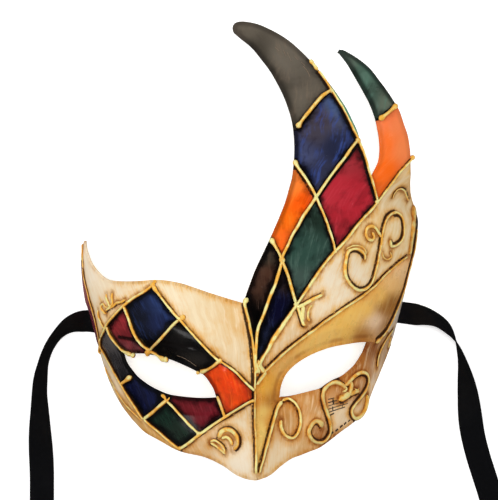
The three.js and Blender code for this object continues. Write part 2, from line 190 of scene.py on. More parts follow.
# The face, as the frame has it: a deep arch across, with a nose, two eye sockets and rolled edges
face = {
    "wall": 2.4,
    "depth": 62,
    "crest": [(-40, 0), (0, 1.5), (50, 10.5), (115, 14)],  # how far it falls short of the depth, by y
    "turn": math.radians(76),
    "leftReach": [(-80, 78), (-118, 74)],  # half widths below and above the temples, by y
    "rightReach": [(-78, 74), (-118, 70), (24, 98), (31, 108), (42, 120), (60, 127), (112, 132)],
    "ridgeX": -3.8,
    "noseRise": [(-20, 0), (-35, 2.5), (-50, 5), (-64, 7.5), (-85, 13.68), (-110, 19)],
    "noseSpread": [(-22, 9), (-64, 13), (-85, 19), (-110, 27)],
    "socketDepth": 5.5,
    "lidDepth": 2.5,
    "socketWidth": 8,
    "socketSharp": 1.3,
    "browFade": (-5, 6),       # mm over the line between an eye's corners, where lid becomes socket
    "browSwell": 2.2,
    "browAt": 15,              # mm from the hole
    "browWidth": 8,
    "edgeRoll": 3,
    "edgeRollWidth": 12,
    "riseFrom": (2, 14),       # the heights over the floor between which all this sets in
    "lumpHeight": 0.12,
    "lumps": [(11, 7, 1), (4.5, 8, 0.5)],  # each one's size, seed and share
    "eyeStep": 2,              # pixels
    "edgeStep": 4,
    "spread": 86,              # mm of arch for each radian, in the flat pattern of the shell
}

outline = {
    "leftTemple": [(83.5, 240), (81, 255), (81, 268), (82, 283), (84, 297), (87, 310), (91, 325), (95, 337),
        (99.5, 352)],
    "lower": [(99.5, 352), (103, 364), (106, 373), (110, 383), (115.3, 394.6), (122, 406), (129, 415.5),
        (136, 423.5), (145, 432), (158, 439.5), (179.5, 450.8), (203.5, 456.5), (222, 464.8), (238, 475.5),
        (253.5, 480), (263, 478), (271, 474), (281, 465.5), (291, 458.5), (300, 455), (310, 451), (320, 447),
        (330, 440), (340, 432), (350, 425), (358, 418), (364, 410), (369, 400), (373, 390), (378, 378),
        (382, 368), (387, 356), (391, 345)],
    "rightTemple": [(391, 345), (394, 335), (398, 323), (402, 308), (405, 292), (408, 278), (412, 262),
        (415.5, 246), (417.5, 232), (418, 219), (414, 204)],
    "outerSmallHorn": [(414, 204), (412, 190), (412, 175), (411, 158), (410, 147), (408, 135), (404, 123),
        (400, 111.3), (395.2, 102.7), (388.3, 92.2), (380.2, 81.3), (371, 69.3), (360, 60), (349.5, 53.4),
        (342, 50), (337, 50.5)],
    "innerSmallHorn": [(337, 50.5), (346, 61.7), (354.2, 74.7), (362.2, 88.7), (369.2, 101.6), (374.2, 113.6),
        (377.2, 124.8), (379.2, 136), (380.2, 148), (379.7, 157), (378, 165), (371, 179)],
    "outerHorn": [(371, 179), (366, 158), (361, 143), (358, 132), (353, 121), (347, 109), (340, 98),
        (333, 88), (326, 79), (318, 69), (309, 59), (301, 51), (292, 43), (282, 36), (270, 29.5), (258, 24.5),
        (245, 22), (237, 22.5), (233, 25), (232, 28.5), (233, 32)],
    "innerHorn": [(233, 32), (240, 38), (251, 47), (261, 59), (270, 71), (277, 83), (283, 95), (288, 108),
        (292, 122), (294, 137), (294.5, 150), (294, 163), (292.4, 178.2), (288.8, 192.3), (285, 205.4),
        (276.2, 226.5), (270, 240.4), (262.5, 256.2), (256, 270), (251, 283), (247, 294), (244, 304)],
    "upperLeft": [(244, 304), (230, 300), (212, 294.5), (200, 290.5), (180, 284), (158, 280.5), (140, 281.5),
        (125, 282), (111, 281.2), (103.4, 278.4), (97, 272.3), (90, 263), (86.2, 252.4), (83.5, 240)],
}
eyeOutlines = [
    {"upper": [(122, 354), (128, 353), (135, 353), (143, 353), (150, 354), (160, 356), (170, 359), (180, 363),
        (190, 367.5), (197, 371), (202, 373), (207, 378), (211, 384), (214, 389), (217, 398)],
     "lower": [(217, 398), (208, 398.5), (196, 398.5), (184, 397.5), (176, 396.5), (167.6, 395), (159.5, 392),
        (151.3, 388), (143.2, 383), (135, 376.3), (129, 368.6), (124.2, 361.3), (122, 354)]},
    {"upper": [(279, 397.5), (280, 388), (283, 379), (288, 371), (296, 363.5), (306, 357), (316, 352),
        (330, 347), (345, 344), (358, 342), (369, 341.5)],
     "lower": [(369, 341.5), (364, 353), (357, 364), (350, 371), (343, 376.5), (334, 380.5), (326, 385.5),
        (321, 389), (310, 392), (298, 395), (288, 397), (279, 397.5)]},
]
# Where the ribbons pass under the temples' edges, through a low arch
ribbonExits = [(91, 321), (401, 312.5)]
ribbonArch = {"height": 3.4, "length": 19}


def edgeSide(points):
    spots = alongRay(points, 0)
    return [(y, abs(x - face["ridgeX"])) for x, y in spots[:, :2]]


leftHalfWidth = profile([*edgeSide(outline["leftTemple"]), *face["leftReach"]])
rightHalfWidth = profile([*edgeSide(outline["rightTemple"]), *face["rightReach"]])
crestHeight = profile([(y, face["depth"] - fall) for y, fall in face["crest"]])
noseRise = profile(face["noseRise"])
noseSpread = profile(face["noseSpread"])
eyeHoles = [np.vstack([smoothPath(eye[lid], face["eyeStep"])[:-1] for lid in ("upper", "lower")])
            for eye in eyeOutlines]
cutEdges = [smoothPath(outline[name], face["edgeStep"]) for name in
            ("lower", "upperLeft", "innerHorn", "outerHorn", "innerSmallHorn", "outerSmallHorn")]
pixelOnFace = view["pixel"] * view["nearer"]


def archAt(side, y):
    halfWidth = np.where(side < 0, leftHalfWidth(y), rightHalfWidth(y))
    return halfWidth / math.sin(face["turn"]), crestHeight(y) / (1 - math.cos(face["turn"]))


def archPoint(angle, y):
    across, drop = archAt(angle, y)
    x = face["ridgeX"] + across * np.sin(angle)
    return np.stack([x, y, crestHeight(y) - drop * (1 - np.cos(angle))], -1)


def archOut(angle, y):
    across, drop = archAt(angle, y)
    out = np.stack([np.sin(angle) * drop, np.zeros_like(y), np.cos(angle) * across], -1)
    return unit(out)


def patternOf(pixels):
    # Where the line of sight through a pixel meets the arch, in the flat pattern: mm across, mm along
    z = np.full(len(pixels), face["depth"] / 2)
    for _ in range(view["passes"]):
        spot = alongRay(pixels, z)
        across, drop = archAt(spot[:, 0] - face["ridgeX"], spot[:, 1])
        s = np.minimum(1, np.abs(spot[:, 0] - face["ridgeX"]) / across)
        z = z + (crestHeight(spot[:, 1]) - drop * (1 - np.sqrt(1 - s * s)) - z) * view["pull"]
    spot = alongRay(pixels, z)
    across, _ = archAt(spot[:, 0] - face["ridgeX"], spot[:, 1])
    angle = np.arcsin(np.clip((spot[:, 0] - face["ridgeX"]) / across, -1, 1))
    return np.stack([angle * face["spread"], spot[:, 1]], -1)


def featureRise(points, pixels):
    share = np.abs(points[:, 0] - face["ridgeX"]) / noseSpread(points[:, 1])
    rise = noseRise(points[:, 1]) * np.maximum(0, 1 - share) ** 2
    for eye, hole in zip(eyeOutlines, eyeHoles):
        near, _, _ = distanceTo(pixels, hole, closed=True)
        near = np.where(isInside(pixels, hole), 0, near) * pixelOnFace
        a, b = np.array([eye["upper"][0], eye["upper"][-1]], float)
        x, y = b - a
        above = (y * (pixels[:, 0] - a[0]) - x * (pixels[:, 1] - a[1])) / np.hypot(x, y)
        over = smoothstep(above * view["pixel"], *face["browFade"])
        roll = np.maximum(0, 1 - near / face["socketWidth"]) ** face["socketSharp"]
        brow = np.exp(-(((near - face["browAt"]) / face["browWidth"]) ** 2))
        rise = rise + face["browSwell"] * over * brow
        rise = rise - roll * (face["lidDepth"] + (face["socketDepth"] - face["lidDepth"]) * over)
    edge = np.min([distanceTo(pixels, path)[0] for path in cutEdges], axis=0) * pixelOnFace
    return rise - face["edgeRoll"] * np.maximum(0, 1 - edge / face["edgeRollWidth"]) ** 2


def skinAt(pattern):
    # The outer face over a place in the flat pattern, and the pixel that sees it
    angle = pattern[:, 0] / face["spread"]
    arch = archPoint(angle, pattern[:, 1])
    pixels = pixelOf(arch)
    rise = featureRise(arch, pixels) * smoothstep(arch[:, 2], *face["riseFrom"])
    return alongRay(pixels, arch[:, 2] + rise), pixels


def unevenness(pattern, side):
    return side["lumpHeight"] * sum(share * lumps(pattern, size, seed) for size, seed, share in side["lumps"])


# Meshes and attributes
def makeMesh(name, points, faces):
    mesh = bpy.data.meshes.new(name)
    corners = [tuple(map(int, face)) for face in faces]
    mesh.from_pydata((np.asarray(points) / 1000).tolist(), [], corners)
    mesh.validate()
    mesh.polygons.foreach_set("use_smooth", np.ones(len(mesh.polygons), bool))
    obj = bpy.data.objects.new(name, mesh)
    bpy.context.collection.objects.link(obj)
    return obj


def setValues(mesh, name, kind, domain, values):
    attribute = mesh.attributes.new(name, kind, domain)
    field = {"FLOAT": "value", "FLOAT_VECTOR": "vector", "FLOAT_COLOR": "color"}[kind]
    attribute.data.foreach_set(field, np.asarray(values, np.float32).ravel())


def toLinear(colour):
    c = np.asarray(colour, float) / 255
    return np.where(c < 0.04045, c / 12.92, ((c + 0.055) / 1.055) ** 2.4)


def addStrip(points, faces, rings, flip=False):
    # Quads between neighbouring rings of points, with a face at both ends; says how many faces there are
    start = len(points)
    width = len(rings[0])
    points += [p for ring in rings for p in ring]
    made = [(a, b, b + width, a + width) for i in range(len(rings) - 1)
            for a, b in ((i * width + k, i * width + (k + 1) % width) for k in range(width))]
    made.append(tuple(reversed(range(width))))
    made.append(tuple(range((len(rings) - 1) * width, len(rings) * width)))
    faces += [tuple(k + start for k in (corners[::-1] if flip else corners)) for corners in made]
    return len(made)


# Two ribbons of black satin, each with a half twist, whose spare length is rolled up on edge
ribbon = {
    "width": 12.6,
    "thickness": 0.7,
    "length": 500,
    "lift": 0.05,
    "coilRadius": 34.5,        # to the middle of the ribbon, in the outermost turn
    "coilGap": 4.8,
    "coilPoints": 48,          # in one turn
    "coilLead": 24,
    "leadPoints": 12,
    "turnUp": 8,               # mm before and after the lead, in which the ribbon comes to stand on edge
    "upright": 90,
    "cup": 2.4,                # how far the ribbon's middle rises where it comes out from under the mask
    "cupRun": (40, 14),        # mm along the ribbon, from flat to cupped
    "cupPinch": 0.1,           # how much narrower it is there
    "cupMiddle": 0.6,          # its middle's rise, as a share of the cup
    "selvedge": (0.35, 12),    # how much thinner the edges are, and how close to them
    "floorStep": 1.5,          # pixels
    "step": 1.5,
    "every": 3,                # of the rough points, those the smooth line runs through
    "ply": 12,                 # strips across
}
ribbonRoutes = {
    "ribbonLeft": {
        "side": 1,
        "path": [(104, 323), (94, 321.5), (84, 321), (72, 324), (61, 332), (52, 344), (46, 358), (42.5, 374),
            (41, 392), (41, 410), (41, 430), (41.5, 450), (42, 470), (42, 490), (42, 508), (42, 522),
            (42, 534)],
        "tilt": [(8, 0), (16, 36), (23, 62), (31, 71), (42, 72), (50, 64), (61, 58), (76, 38), (92, 12),
            (106, 0)],
        "turns": 1.85,
    },
    "ribbonRight": {
        "side": -1,
        "path": [(392, 311), (402, 312.5), (413, 314), (426, 316), (438, 321), (448, 330), (455, 342),
            (460, 357), (464, 376), (467, 396), (469.5, 416), (473, 436), (478, 456), (484, 475), (490, 494),
            (494, 511), (496, 528), (496.5, 540)],
        "tilt": [(10, 0), (15, 28), (22, 52), (30, 64), (35, 76), (41, 90), (50, 105), (60, 126), (73, 150),
            (90, 180)],
        "turns": 1.75,
    },
}


def ribbonLine(route):
    # The centreline over the floor, then the roll: a spiral whose turns lie beside each other on edge
    floorPart = alongRay(smoothPath(route["path"], ribbon["floorStep"]), 0)[:, :2]
    side = route["side"]
    end = alongRay(np.array(route["path"][-1]), 0)[:2]
    centre = end + np.array([side * ribbon["coilRadius"], -ribbon["coilLead"]])
    turn = np.linspace(0, route["turns"] * 2 * math.pi, int(route["turns"] * ribbon["coilPoints"]))
    radius = ribbon["coilRadius"] - ribbon["coilGap"] * turn / (2 * math.pi)
    roll = centre + np.stack([-side * radius * np.cos(turn), -radius * np.sin(turn)], -1)
    straight = np.linspace(end, roll[0], ribbon["leadPoints"])[1:-1]
    flat = np.vstack([floorPart, straight, roll])
    onFloor = np.linalg.norm(np.diff(floorPart, axis=0), axis=1).sum()
    return smoothPath(flat[::ribbon["every"]], ribbon["step"]), onFloor


def makeRibbon(name, route):
    line, onFloor = ribbonLine(route)
    run = np.arange(len(line)) * np.linalg.norm(line[1] - line[0])
    keep = run <= ribbon["length"]
    line = line[keep]
    run = run[keep]
    ahead = unit(np.gradient(line, axis=0))
    across = np.stack([ahead[:, 1], -ahead[:, 0]], -1)
    upright = onFloor + ribbon["coilLead"] + ribbon["turnUp"]
    raised = profile([(onFloor - ribbon["turnUp"], 0), (upright, ribbon["upright"])])
    tilt = np.radians(profile(route["tilt"])(run) + raised(run))
    cupped = smoothstep(run, *ribbon["cupRun"])
    half = ribbon["width"] / 2
    thick = ribbon["thickness"] / 2
    middle = ribbon["lift"] + thick * np.abs(np.cos(tilt)) + half * np.abs(np.sin(tilt))
    share = np.linspace(-1, 1, ribbon["ply"] + 1)
    thinner, sharp = ribbon["selvedge"]
    selvedge = 1 - thinner * np.abs(share) ** sharp
    rings = []
    strip = []
    path = []
    for i in range(len(line)):
        wide = np.array([*(across[i] * math.cos(tilt[i])), math.sin(tilt[i])])
        outward = np.array([*(-across[i] * math.sin(tilt[i])), math.cos(tilt[i])])
        core = np.array([*line[i], middle[i]])
        cup = ribbon["cup"] * cupped[i]
        bow = 1 - ribbon["cupPinch"] * cup / ribbon["cup"]
        path.append(core + outward * cup * ribbon["cupMiddle"])
        spine = [core + wide * half * bow * s + outward * cup * (1 - s * s) for s in share]
        rings.append([p + outward * thick * e for p, e in zip(spine, selvedge)]
                     + [p - outward * thick * e for p, e in zip(spine[::-1], selvedge[::-1])])
        strip += [(s * half, run[i], 1) for s in share] + [(s * half, run[i], 0) for s in share[::-1]]
    points = []
    faces = []
    addStrip(points, faces, rings)
    obj = makeMesh(name, points, faces)
    setValues(obj.data, "strip", "FLOAT_VECTOR", "POINT", strip)
    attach(obj, "root")
    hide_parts(frameNames[name], frameNames[name] + "_coil")
    exit = tuple(path[0] / 1000)
    [tuple(p / 1000) for p in path[::2]]
    print(name, "length", round(float(run[-1])), "mm")
    return obj


frameNames = {"ribbonLeft": "ribbon_left", "ribbonRight": "ribbon_right"}
ribbons = [makeRibbon(name, route) for name, route in ribbonRoutes.items()]
print("ribbons laid")


# Gold lines of gesso, in the order they were piped. dark is the side with a dark glaze line, and its width in
# pixels: above 0 is to the right as the line runs. wide is a share of the common width, aged how brown it is.
gold = {
    "width": 1.5,
    "height": 0.95,
    "tallest": 1.1,            # a share of the height, for the widest lines
    "crownSharp": 0.8,
    "root": 0.7,
    "rootWidth": 0.8,
    "rootShade": -0.6,
    "drop": 1.8,               # a drop's width, as a share of the line's
    "dropRise": 0.4,           # how much taller it is
    "dropReach": 1.5,
    "endReach": 0.95,          # of the half width, over which an end is rounded
    "endWidth": 0.03,
    "endHeight": 0.35,
    "step": 0.75,
    "arc": 9,
    "wobble": (0.2, 5.5, 3),   # how much in mm, how long each is, and a seed
    "swelling": (0.2, 4, 4),   # the same for the width and the height, as shares of them
    "rising": (0.16, 3, 5),
    "apart": 31.7,             # between the lines' places in that noise
    "skinReach": 0.8,
    "darkShare": 0.75,
    "lean": -0.4,              # how far the painted highlight leans away from the dark side, which is left browner as painted shade
    "peaked": 1.5,             # how much narrower the painted highlight is on a wide line
    "knotSize": (0.85, 0.2, 2.1),  # shares of the line's width, and a turn
    "knotHeight": 1.25,
    "knotRings": 9,
    "knotEnd": 0.02,
    "knotAged": 0.15,
}
goldLines = [
    {"at": [(309, 60), (314, 65), (318, 70.5)], "drop": "both", "wide": 0.8},
    {"at": [(318, 71), (323, 77), (328, 85), (331, 90), (335, 96), (341, 105.5), (347, 117), (353, 129),
        (358, 140), (362, 149), (366, 160), (369, 171), (372, 182), (375, 193), (377, 202)],
        "dark": (1, 1.1)},
    {"at": [(297, 128), (302, 121), (308, 113), (315, 104), (322, 96), (331, 90)], "drop": "start",
        "wide": 1.1},
    {"at": [(358, 140), (352, 147), (345, 157), (336, 169), (327, 181), (316, 197)], "dark": (-1, 4)},
    {"at": [(316, 197), (309, 208), (302, 219), (295, 231), (289, 243), (283, 256), (280, 268), (276, 282),
        (271, 294), (267, 305), (263, 316), (259, 326), (257, 336), (256, 348), (255, 364)], "dark": (-1, 1)},
    {"at": [(294, 160), (298, 167), (304, 176), (310, 186), (316, 197), (320, 207), (325, 219), (330, 232),
        (333, 242), (335, 251)], "dark": (1, 1.5), "drop": "start"},
    {"at": [(271, 238), (275, 246), (280, 255), (283, 263), (286, 270), (289, 278), (293, 293), (296, 303)],
        "dark": (-1, 1), "drop": "start"},
    {"at": [(413, 157), (400, 171), (391, 183), (377, 202), (368, 213), (356, 226.5), (345, 240), (335, 251)],
        "dark": (1, 0.8), "wide": 1.1},
    {"at": [(335, 251), (325, 263), (316, 275), (308, 287), (296, 305), (289, 316), (284, 323)],
        "dark": (1, 0.7), "wide": 1.15},
    {"at": [(292, 311.5), (289, 316), (282, 326), (274, 338), (267, 350), (261, 360), (257, 368)],
        "dark": (1, 0.9), "wide": 1.5},
    {"at": [(248, 298), (245, 303), (246, 310), (248, 320), (250, 330), (252, 342), (253, 354), (254, 366),
        (254, 390)], "drop": "start", "dark": (1, 3)},
    {"at": [(254, 390), (254, 405), (254, 420), (255, 440), (256, 474)], "dark": (1, 1.4), "wide": 0.9,
        "aged": 0.25},
    {"at": [(379, 120), (384, 116), (390, 111), (397.5, 104.5)], "drop": "both", "wide": 1.1},
    {"at": [(263, 372), (268, 368), (276, 360), (287, 350), (300, 340), (312, 331), (324, 322), (338, 312.5),
        (350, 304), (362, 296), (372, 288), (380, 279.5), (388, 271.5), (397, 263.5), (407, 256)],
        "dark": (-1, 2), "aged": 0.25},
    {"at": [(414, 206), (413.7, 215), (413.2, 225), (412.2, 235), (410.8, 245), (409, 255)], "dark": (-1, 9),
        "wide": 3.0, "aged": 0.9},
    {"at": [(416.4, 229), (415.2, 238), (413.5, 250), (411, 260), (408.4, 270), (405.8, 280), (403.2, 290),
        (399.8, 300), (395.8, 310), (391.5, 320), (386, 330), (380, 337.5), (375, 342.5)], "dark": (1, 4.5),
        "drop": "end", "wide": 1.2, "aged": 0.25},
    {"at": [(153, 286), (159, 294), (166, 303), (173, 312), (180, 320), (188, 329), (196, 338), (204, 346),
        (212, 354), (220, 361)], "dark": (-1, 0.8), "drop": "start"},
    {"at": [(220, 361), (228, 366), (236, 372), (243, 379), (249, 385), (254, 391)], "dark": (-1, 1),
        "wide": 0.9},
    {"at": [(153, 286), (144, 292), (134, 298), (125, 305), (118, 312), (110, 321), (105, 329), (101, 338)],
        "dark": (-1, 0.8), "aged": 0.15},
    {"at": [(101, 338), (101, 346), (105, 354), (110, 364), (116, 375), (121, 384), (127, 394), (133, 403),
        (139, 412), (144, 419)], "aged": 0.2, "dark": (-1, 0.9)},
    {"at": [(144, 419), (152, 426), (161, 433), (170, 441), (180, 449)], "aged": 0.2, "dark": (-1, 1.2)},
    {"at": [(124, 306), (127, 313), (130, 321), (133, 330), (137, 338), (143, 345), (150, 350)],
        "wide": 1.05},
    {"at": [(179, 320), (172, 326), (166, 333), (159, 341), (153, 347), (150, 351)], "wide": 1.05,
        "aged": 0.4},
    {"at": [(150, 350), (146, 354)], "drop": "end", "wide": 1.1, "aged": 0.35},
    {"at": [(106.5, 326), (110, 335), (115, 342), (121, 349), (127, 353), (132, 355)], "drop": "end",
        "aged": 0.25},
    {"at": [(150, 351), (156, 354), (161, 358), (166, 360)], "drop": "end", "wide": 1.1, "aged": 0.25},
    {"at": [(219, 361), (213, 366), (206, 370), (200, 372)], "drop": "end", "aged": 0.3},
    {"at": [(254, 400), (247, 404), (239, 409), (231, 414), (224, 418), (214, 424), (206, 430), (199, 435),
        (190, 442), (180, 449)], "dark": (-1, 1.2), "aged": 0.1},
    {"at": [(121, 384), (127, 380), (132, 376.5)], "drop": "end", "wide": 1.1, "aged": 0.25},
    {"at": [(144, 419), (151, 414), (158, 408), (164, 403), (167, 400)], "wide": 1.15, "aged": 0.25},
    {"at": [(167, 401), (173, 407), (180, 415), (187, 422), (194, 429), (199, 434)], "wide": 0.95,
        "aged": 0.3},
    {"at": [(161, 395), (164, 397), (167, 401), (170, 397.5)], "drop": "start", "wide": 0.65, "aged": 0.25},
    {"at": [(258, 360), (259, 365), (261, 369), (264.5, 372)], "wide": 2.3, "aged": 0.1},
    {"at": [(255.5, 362), (256.5, 368), (259, 373.5)], "wide": 1.7, "aged": 0.1},
    {"at": [(265, 371), (261.5, 377), (256, 384.5)], "wide": 1.6, "aged": 0.2, "dark": (1, 1.5)},
    {"at": [(217, 396), (220, 404), (223, 412), (225, 418)], "wide": 0.95, "aged": 0.15},
    {"at": [(83, 244), (83, 255), (83.5, 268)], "wide": 0.85, "aged": 0.35},
    {"at": [(83.5, 268), (85, 280), (88, 292), (91, 303), (94, 314), (96.5, 325), (98.5, 335), (100, 345),
        (100, 353)], "wide": 0.85, "aged": 0.35, "dark": (-1, 1.2), "drop": "end"},
    {"at": [(98.5, 310), (99, 316), (101, 322), (104.5, 328)], "wide": 0.9, "aged": 0.35},
    {"at": [(106, 314), (103, 310.5), (101.5, 306), (104, 304), (106, 307), (108.5, 307)], "wide": 0.95,
        "aged": 0.3},
    {"at": [(106.5, 294), (107, 299), (109, 303), (110.5, 306.5), (113, 304), (112.5, 298), (112.5, 293)],
        "wide": 0.9, "aged": 0.25},
    {"at": [(106, 311), (110, 308), (114, 306), (117, 303), (121, 302.5), (125.5, 300)], "wide": 0.9,
        "dark": (1, 1.3), "aged": 0.2},
    {"at": [(105, 367), (108, 375), (113, 384), (117, 392), (122, 400), (129, 408), (136, 415), (142, 421)],
        "wide": 0.5, "aged": 0.55, "dark": (1, 0.8)},
    {"at": [(219, 438), (221, 432), (226, 429), (232, 430), (237, 435), (239, 441), (238, 446), (234, 450)],
        "wide": 1.7, "aged": 0.3, "dark": (-1, 0.7)},
    {"at": [(222, 438.5), (227, 437), (231, 440), (233, 445)], "wide": 1.3, "aged": 0.2},
    {"at": [(210.5, 441.5), (215, 440), (220, 443), (224, 447), (226, 452)], "wide": 1.0, "aged": 0.3,
        "dark": (-1, 0.7)},
    {"at": [(210.5, 443), (216, 446), (221, 449.5), (225.5, 454)], "wide": 0.9, "aged": 0.3,
        "dark": (1, 0.9)},
    {"at": [(258, 473), (262, 460), (265, 450), (268, 438), (271, 427), (274, 417), (277, 408), (282, 401.5)],
        "dark": (-1, 1.0), "wide": 1.45},
    {"at": [(281, 420), (281, 427), (285, 435), (292, 438), (297, 433), (300, 424), (300, 416), (298, 409),
        (294, 402.5), (288, 399), (282, 401.5)], "dark": (-1, 1.0), "wide": 1.1, "aged": 0.2},
    {"at": [(322, 427), (319, 422.5), (315, 421.5), (311, 426), (309, 432), (311, 438), (316, 442),
        (323, 441.5), (328, 436), (330, 429), (328.5, 420), (326, 412), (323.5, 404), (322.5, 396),
        (324, 389.5), (329, 384.2), (336, 382.2), (342, 384.5), (346, 388)], "dark": (-1, 1.7), "wide": 1.4,
        "drop": "start", "aged": 0.6},
    {"at": [(345, 386), (350, 381), (355, 376), (361, 373), (366, 374.5), (368, 380), (366, 388), (361, 396),
        (355, 403), (351, 410), (352, 416), (356, 418.5), (361, 415.5), (365, 409), (367, 401), (367, 395)],
        "dark": (1, 1.7), "wide": 1.35, "aged": 0.55},
    {"at": [(338.5, 400), (344, 397.5), (350, 393.5)], "wide": 2.7, "aged": 0.6, "dark": (1, 1)},
    {"at": [(349, 395), (350.5, 388), (351, 381.5)], "wide": 2.1, "aged": 0.5},
    {"at": [(349, 395), (354, 392.5), (359, 391)], "wide": 1.7, "aged": 0.6, "dark": (1, 1)},
    {"at": [(345, 386), (346, 390), (342.5, 392)], "wide": 0.8, "aged": 0.4},
    {"at": [(354.5, 388.5), (357, 390), (359, 388)], "wide": 0.6, "aged": 0.4},
    {"at": [(364, 260), (364, 255), (360, 250.5), (354, 249), (348, 252), (346, 260), (345, 270), (347, 279),
        (352, 286), (359, 290), (366, 288), (371, 282), (374, 273), (377, 262), (379, 252), (380.5, 243),
        (381.5, 235), (383, 227), (386, 219), (391, 214), (396, 213)], "dark": (-1, 2.4), "wide": 1.15,
        "aged": 0.15},
    {"at": [(392, 213.7), (396, 213), (401, 217), (403, 224), (403, 232), (401, 240), (396, 245), (391, 246),
        (390, 240)], "dark": (1, 3.2), "wide": 1.15, "aged": 0.15},
    {"at": [(346, 249), (352, 246), (359, 246), (364, 249), (366, 254)], "wide": 0.6, "aged": 0.35},
    {"at": [(381, 237), (377, 231), (372, 226.5), (367, 228), (365.5, 233), (367, 238), (371, 240),
        (373.5, 237), (372, 232)], "wide": 1.2, "aged": 0.2},
    {"at": [(392, 199), (394, 193), (399, 188.5), (404, 190), (406, 195), (408, 201)], "wide": 0.65,
        "aged": 0.3, "dark": (-1, 0.9)},
    {"at": [(382, 252), (383, 257), (387, 259.5), (391, 257), (390, 252)], "wide": 0.6, "aged": 0.4},
    {"at": [(296.5, 307.5), (303, 304.5), (311, 300), (317, 297), (322.5, 294.5)], "dark": (-1, 1.2),
        "wide": 1.25},
    {"at": [(297.5, 308), (299.5, 313), (301, 318), (303, 324), (305.5, 325)], "dark": (1, 1.3), "wide": 1.3},
    {"at": [(303.5, 306), (302.5, 311), (302.3, 316), (302.5, 321)], "wide": 1.6, "aged": 0.2},
    {"at": [(312, 305), (309, 309), (308, 313.5), (308, 318), (310, 321)], "wide": 0.8, "aged": 0.3},
    {"at": [(393, 329), (387, 337), (381, 348), (377.5, 358), (376.5, 367)], "wide": 0.85, "aged": 0.35,
        "dark": (1, 0.9)},
    {"at": [(391, 337), (389.5, 343), (388, 348)], "wide": 0.6, "aged": 0.5, "dark": (-1, 0.8)},
]
# Knots of gesso where lines cross
goldKnots = [
    (331, 90.5), (358, 140.5), (316, 197), (376.5, 202), (282, 260), (335, 251.5), (296, 304.5), (153, 285),
    (180, 319), (220, 361), (150, 350.5), (180, 448), (199, 434), (100, 351), (155, 282), (256, 371),
    (183, 317.5), (147.5, 354.5), (133, 355.5), (166, 359.5), (198, 372.5), (412.5, 157.5),
]

linePaths = [smoothPath(line["at"]) for line in goldLines]
crownArc = np.linspace(0, math.pi, gold["arc"])


def ringAt(centre, normal, ahead, half, height):
    # A ridge's section: a low crown over the skin, and a root sunk into it
    side = np.cross(ahead, normal)
    side /= np.linalg.norm(side)
    side *= half
    rise = normal * height
    crown = [centre + side * math.cos(t) + rise * math.sin(t) ** gold["crownSharp"] for t in crownArc]
    return crown + [centre + side * hand * gold["rootWidth"] - normal * gold["root"] for hand in (-1, 1)]


def skinFrames(pixels):
    # Places on the skin, and its normals there
    pattern = patternOf(pixels)
    reach = gold["skinReach"]
    around = [[0, 0], [reach, 0], [-reach, 0], [0, reach], [0, -reach]]
    points = skinAt(np.vstack([pattern + shift for shift in around]))[0].reshape(5, -1, 3)
    return points[0], unit(np.cross(points[1] - points[2], points[3] - points[4]))


def goldSection(line, run, number):
    # The line's half width and height along its run, with swellings, drops and rounded ends
    place = np.stack([run, np.full(len(run), number * gold["apart"])], -1)
    wider, taller = (1 + share * lumps(place, size, seed)
                     for share, size, seed in (gold["swelling"], gold["rising"]))
    half = gold["width"] / 2 * line.get("wide", 1) * wider
    height = gold["height"] * min(gold["tallest"], line.get("wide", 1)) * taller
    for end, gap in (("start", run), ("end", run[-1] - run)):
        if line.get("drop") in (end, "both"):
            swell = np.exp(-((gap - gold["dropReach"]) / gold["dropReach"]) ** 2)
            half = half * (1 + (gold["drop"] - 1) * swell)
            height = height * (1 + gold["dropRise"] * swell)
        close = np.clip(gap / (half * gold["endReach"]), 0, 1)
        cap = np.sqrt(np.clip(1 - (1 - close) ** 2, gold["endWidth"], 1))
        half = half * cap
        height = height * (gold["endHeight"] + (1 - gold["endHeight"]) * cap)
    return half, height, place


def makeGoldLines():
    points = []
    faces = []
    crown = []
    aged = []
    crownRise = np.append(np.sin(crownArc), [gold["rootShade"]] * 2)
    crownLean = np.append(np.cos(crownArc), [0, 0])
    for number, line in enumerate(goldLines):
        path = smoothPath(line["at"], gold["step"] / pixelOnFace)
        half, height, place = goldSection(line, np.arange(len(path)) * gold["step"], number)
        centres, normals = skinFrames(path)
        ahead = unit(np.gradient(centres, axis=0))
        wobble, size, seed = gold["wobble"]
        centres += np.cross(ahead, normals) * (lumps(place, size, seed) * wobble)[:, None]
        rings = [ringAt(c, n, a, h, t) for c, n, a, h, t in zip(centres, normals, ahead, half, height)]
        addStrip(points, faces, rings)
        # The crown value places the gold's painted highlight, shifted away from the dark side, which stays
        # browner as painted shade
        shift = gold["lean"] * line.get("dark", (0, 0))[0]
        peaked = np.sign(crownRise) * np.abs(crownRise) ** max(1, line.get("wide", 1)) ** gold["peaked"]
        crown += (peaked + shift * crownLean).tolist() * len(path)
        aged += [line.get("aged", 0.0)] * (len(path) * len(crownRise))
    stations = np.linspace(-1, 1, gold["knotRings"])
    for number, pixel in enumerate(goldKnots):
        share, more, turn = gold["knotSize"]
        size = gold["width"] * (share + more * math.sin(number * turn))
        centre, normal = (rows[0] for rows in skinFrames(np.array([pixel], float)))
        ahead = np.cross(normal, [math.cos(number), math.sin(number), 0])
        ahead /= np.linalg.norm(ahead)
        swell = [math.sqrt(max(gold["knotEnd"], 1 - s * s)) for s in stations]
        addStrip(points, faces, [ringAt(centre + ahead * size * s, normal, ahead, size * w, gold["height"]
                                        * gold["knotHeight"] * w) for s, w in zip(stations, swell)])
        crown += crownRise.tolist() * len(stations)
        aged += [gold["knotAged"]] * (len(stations) * len(crownRise))
    points = [(p[0], p[1], max(0, p[2])) for p in points]
    obj = makeMesh("goldLines", points, faces)
    setValues(obj.data, "crown", "FLOAT", "POINT", crown)
    setValues(obj.data, "aged", "FLOAT", "POINT", aged)
    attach(obj, "root")
    print("gold lines piped:", len(goldLines), "lines,", len(faces), "faces")
    return obj


goldPiece = makeGoldLines()
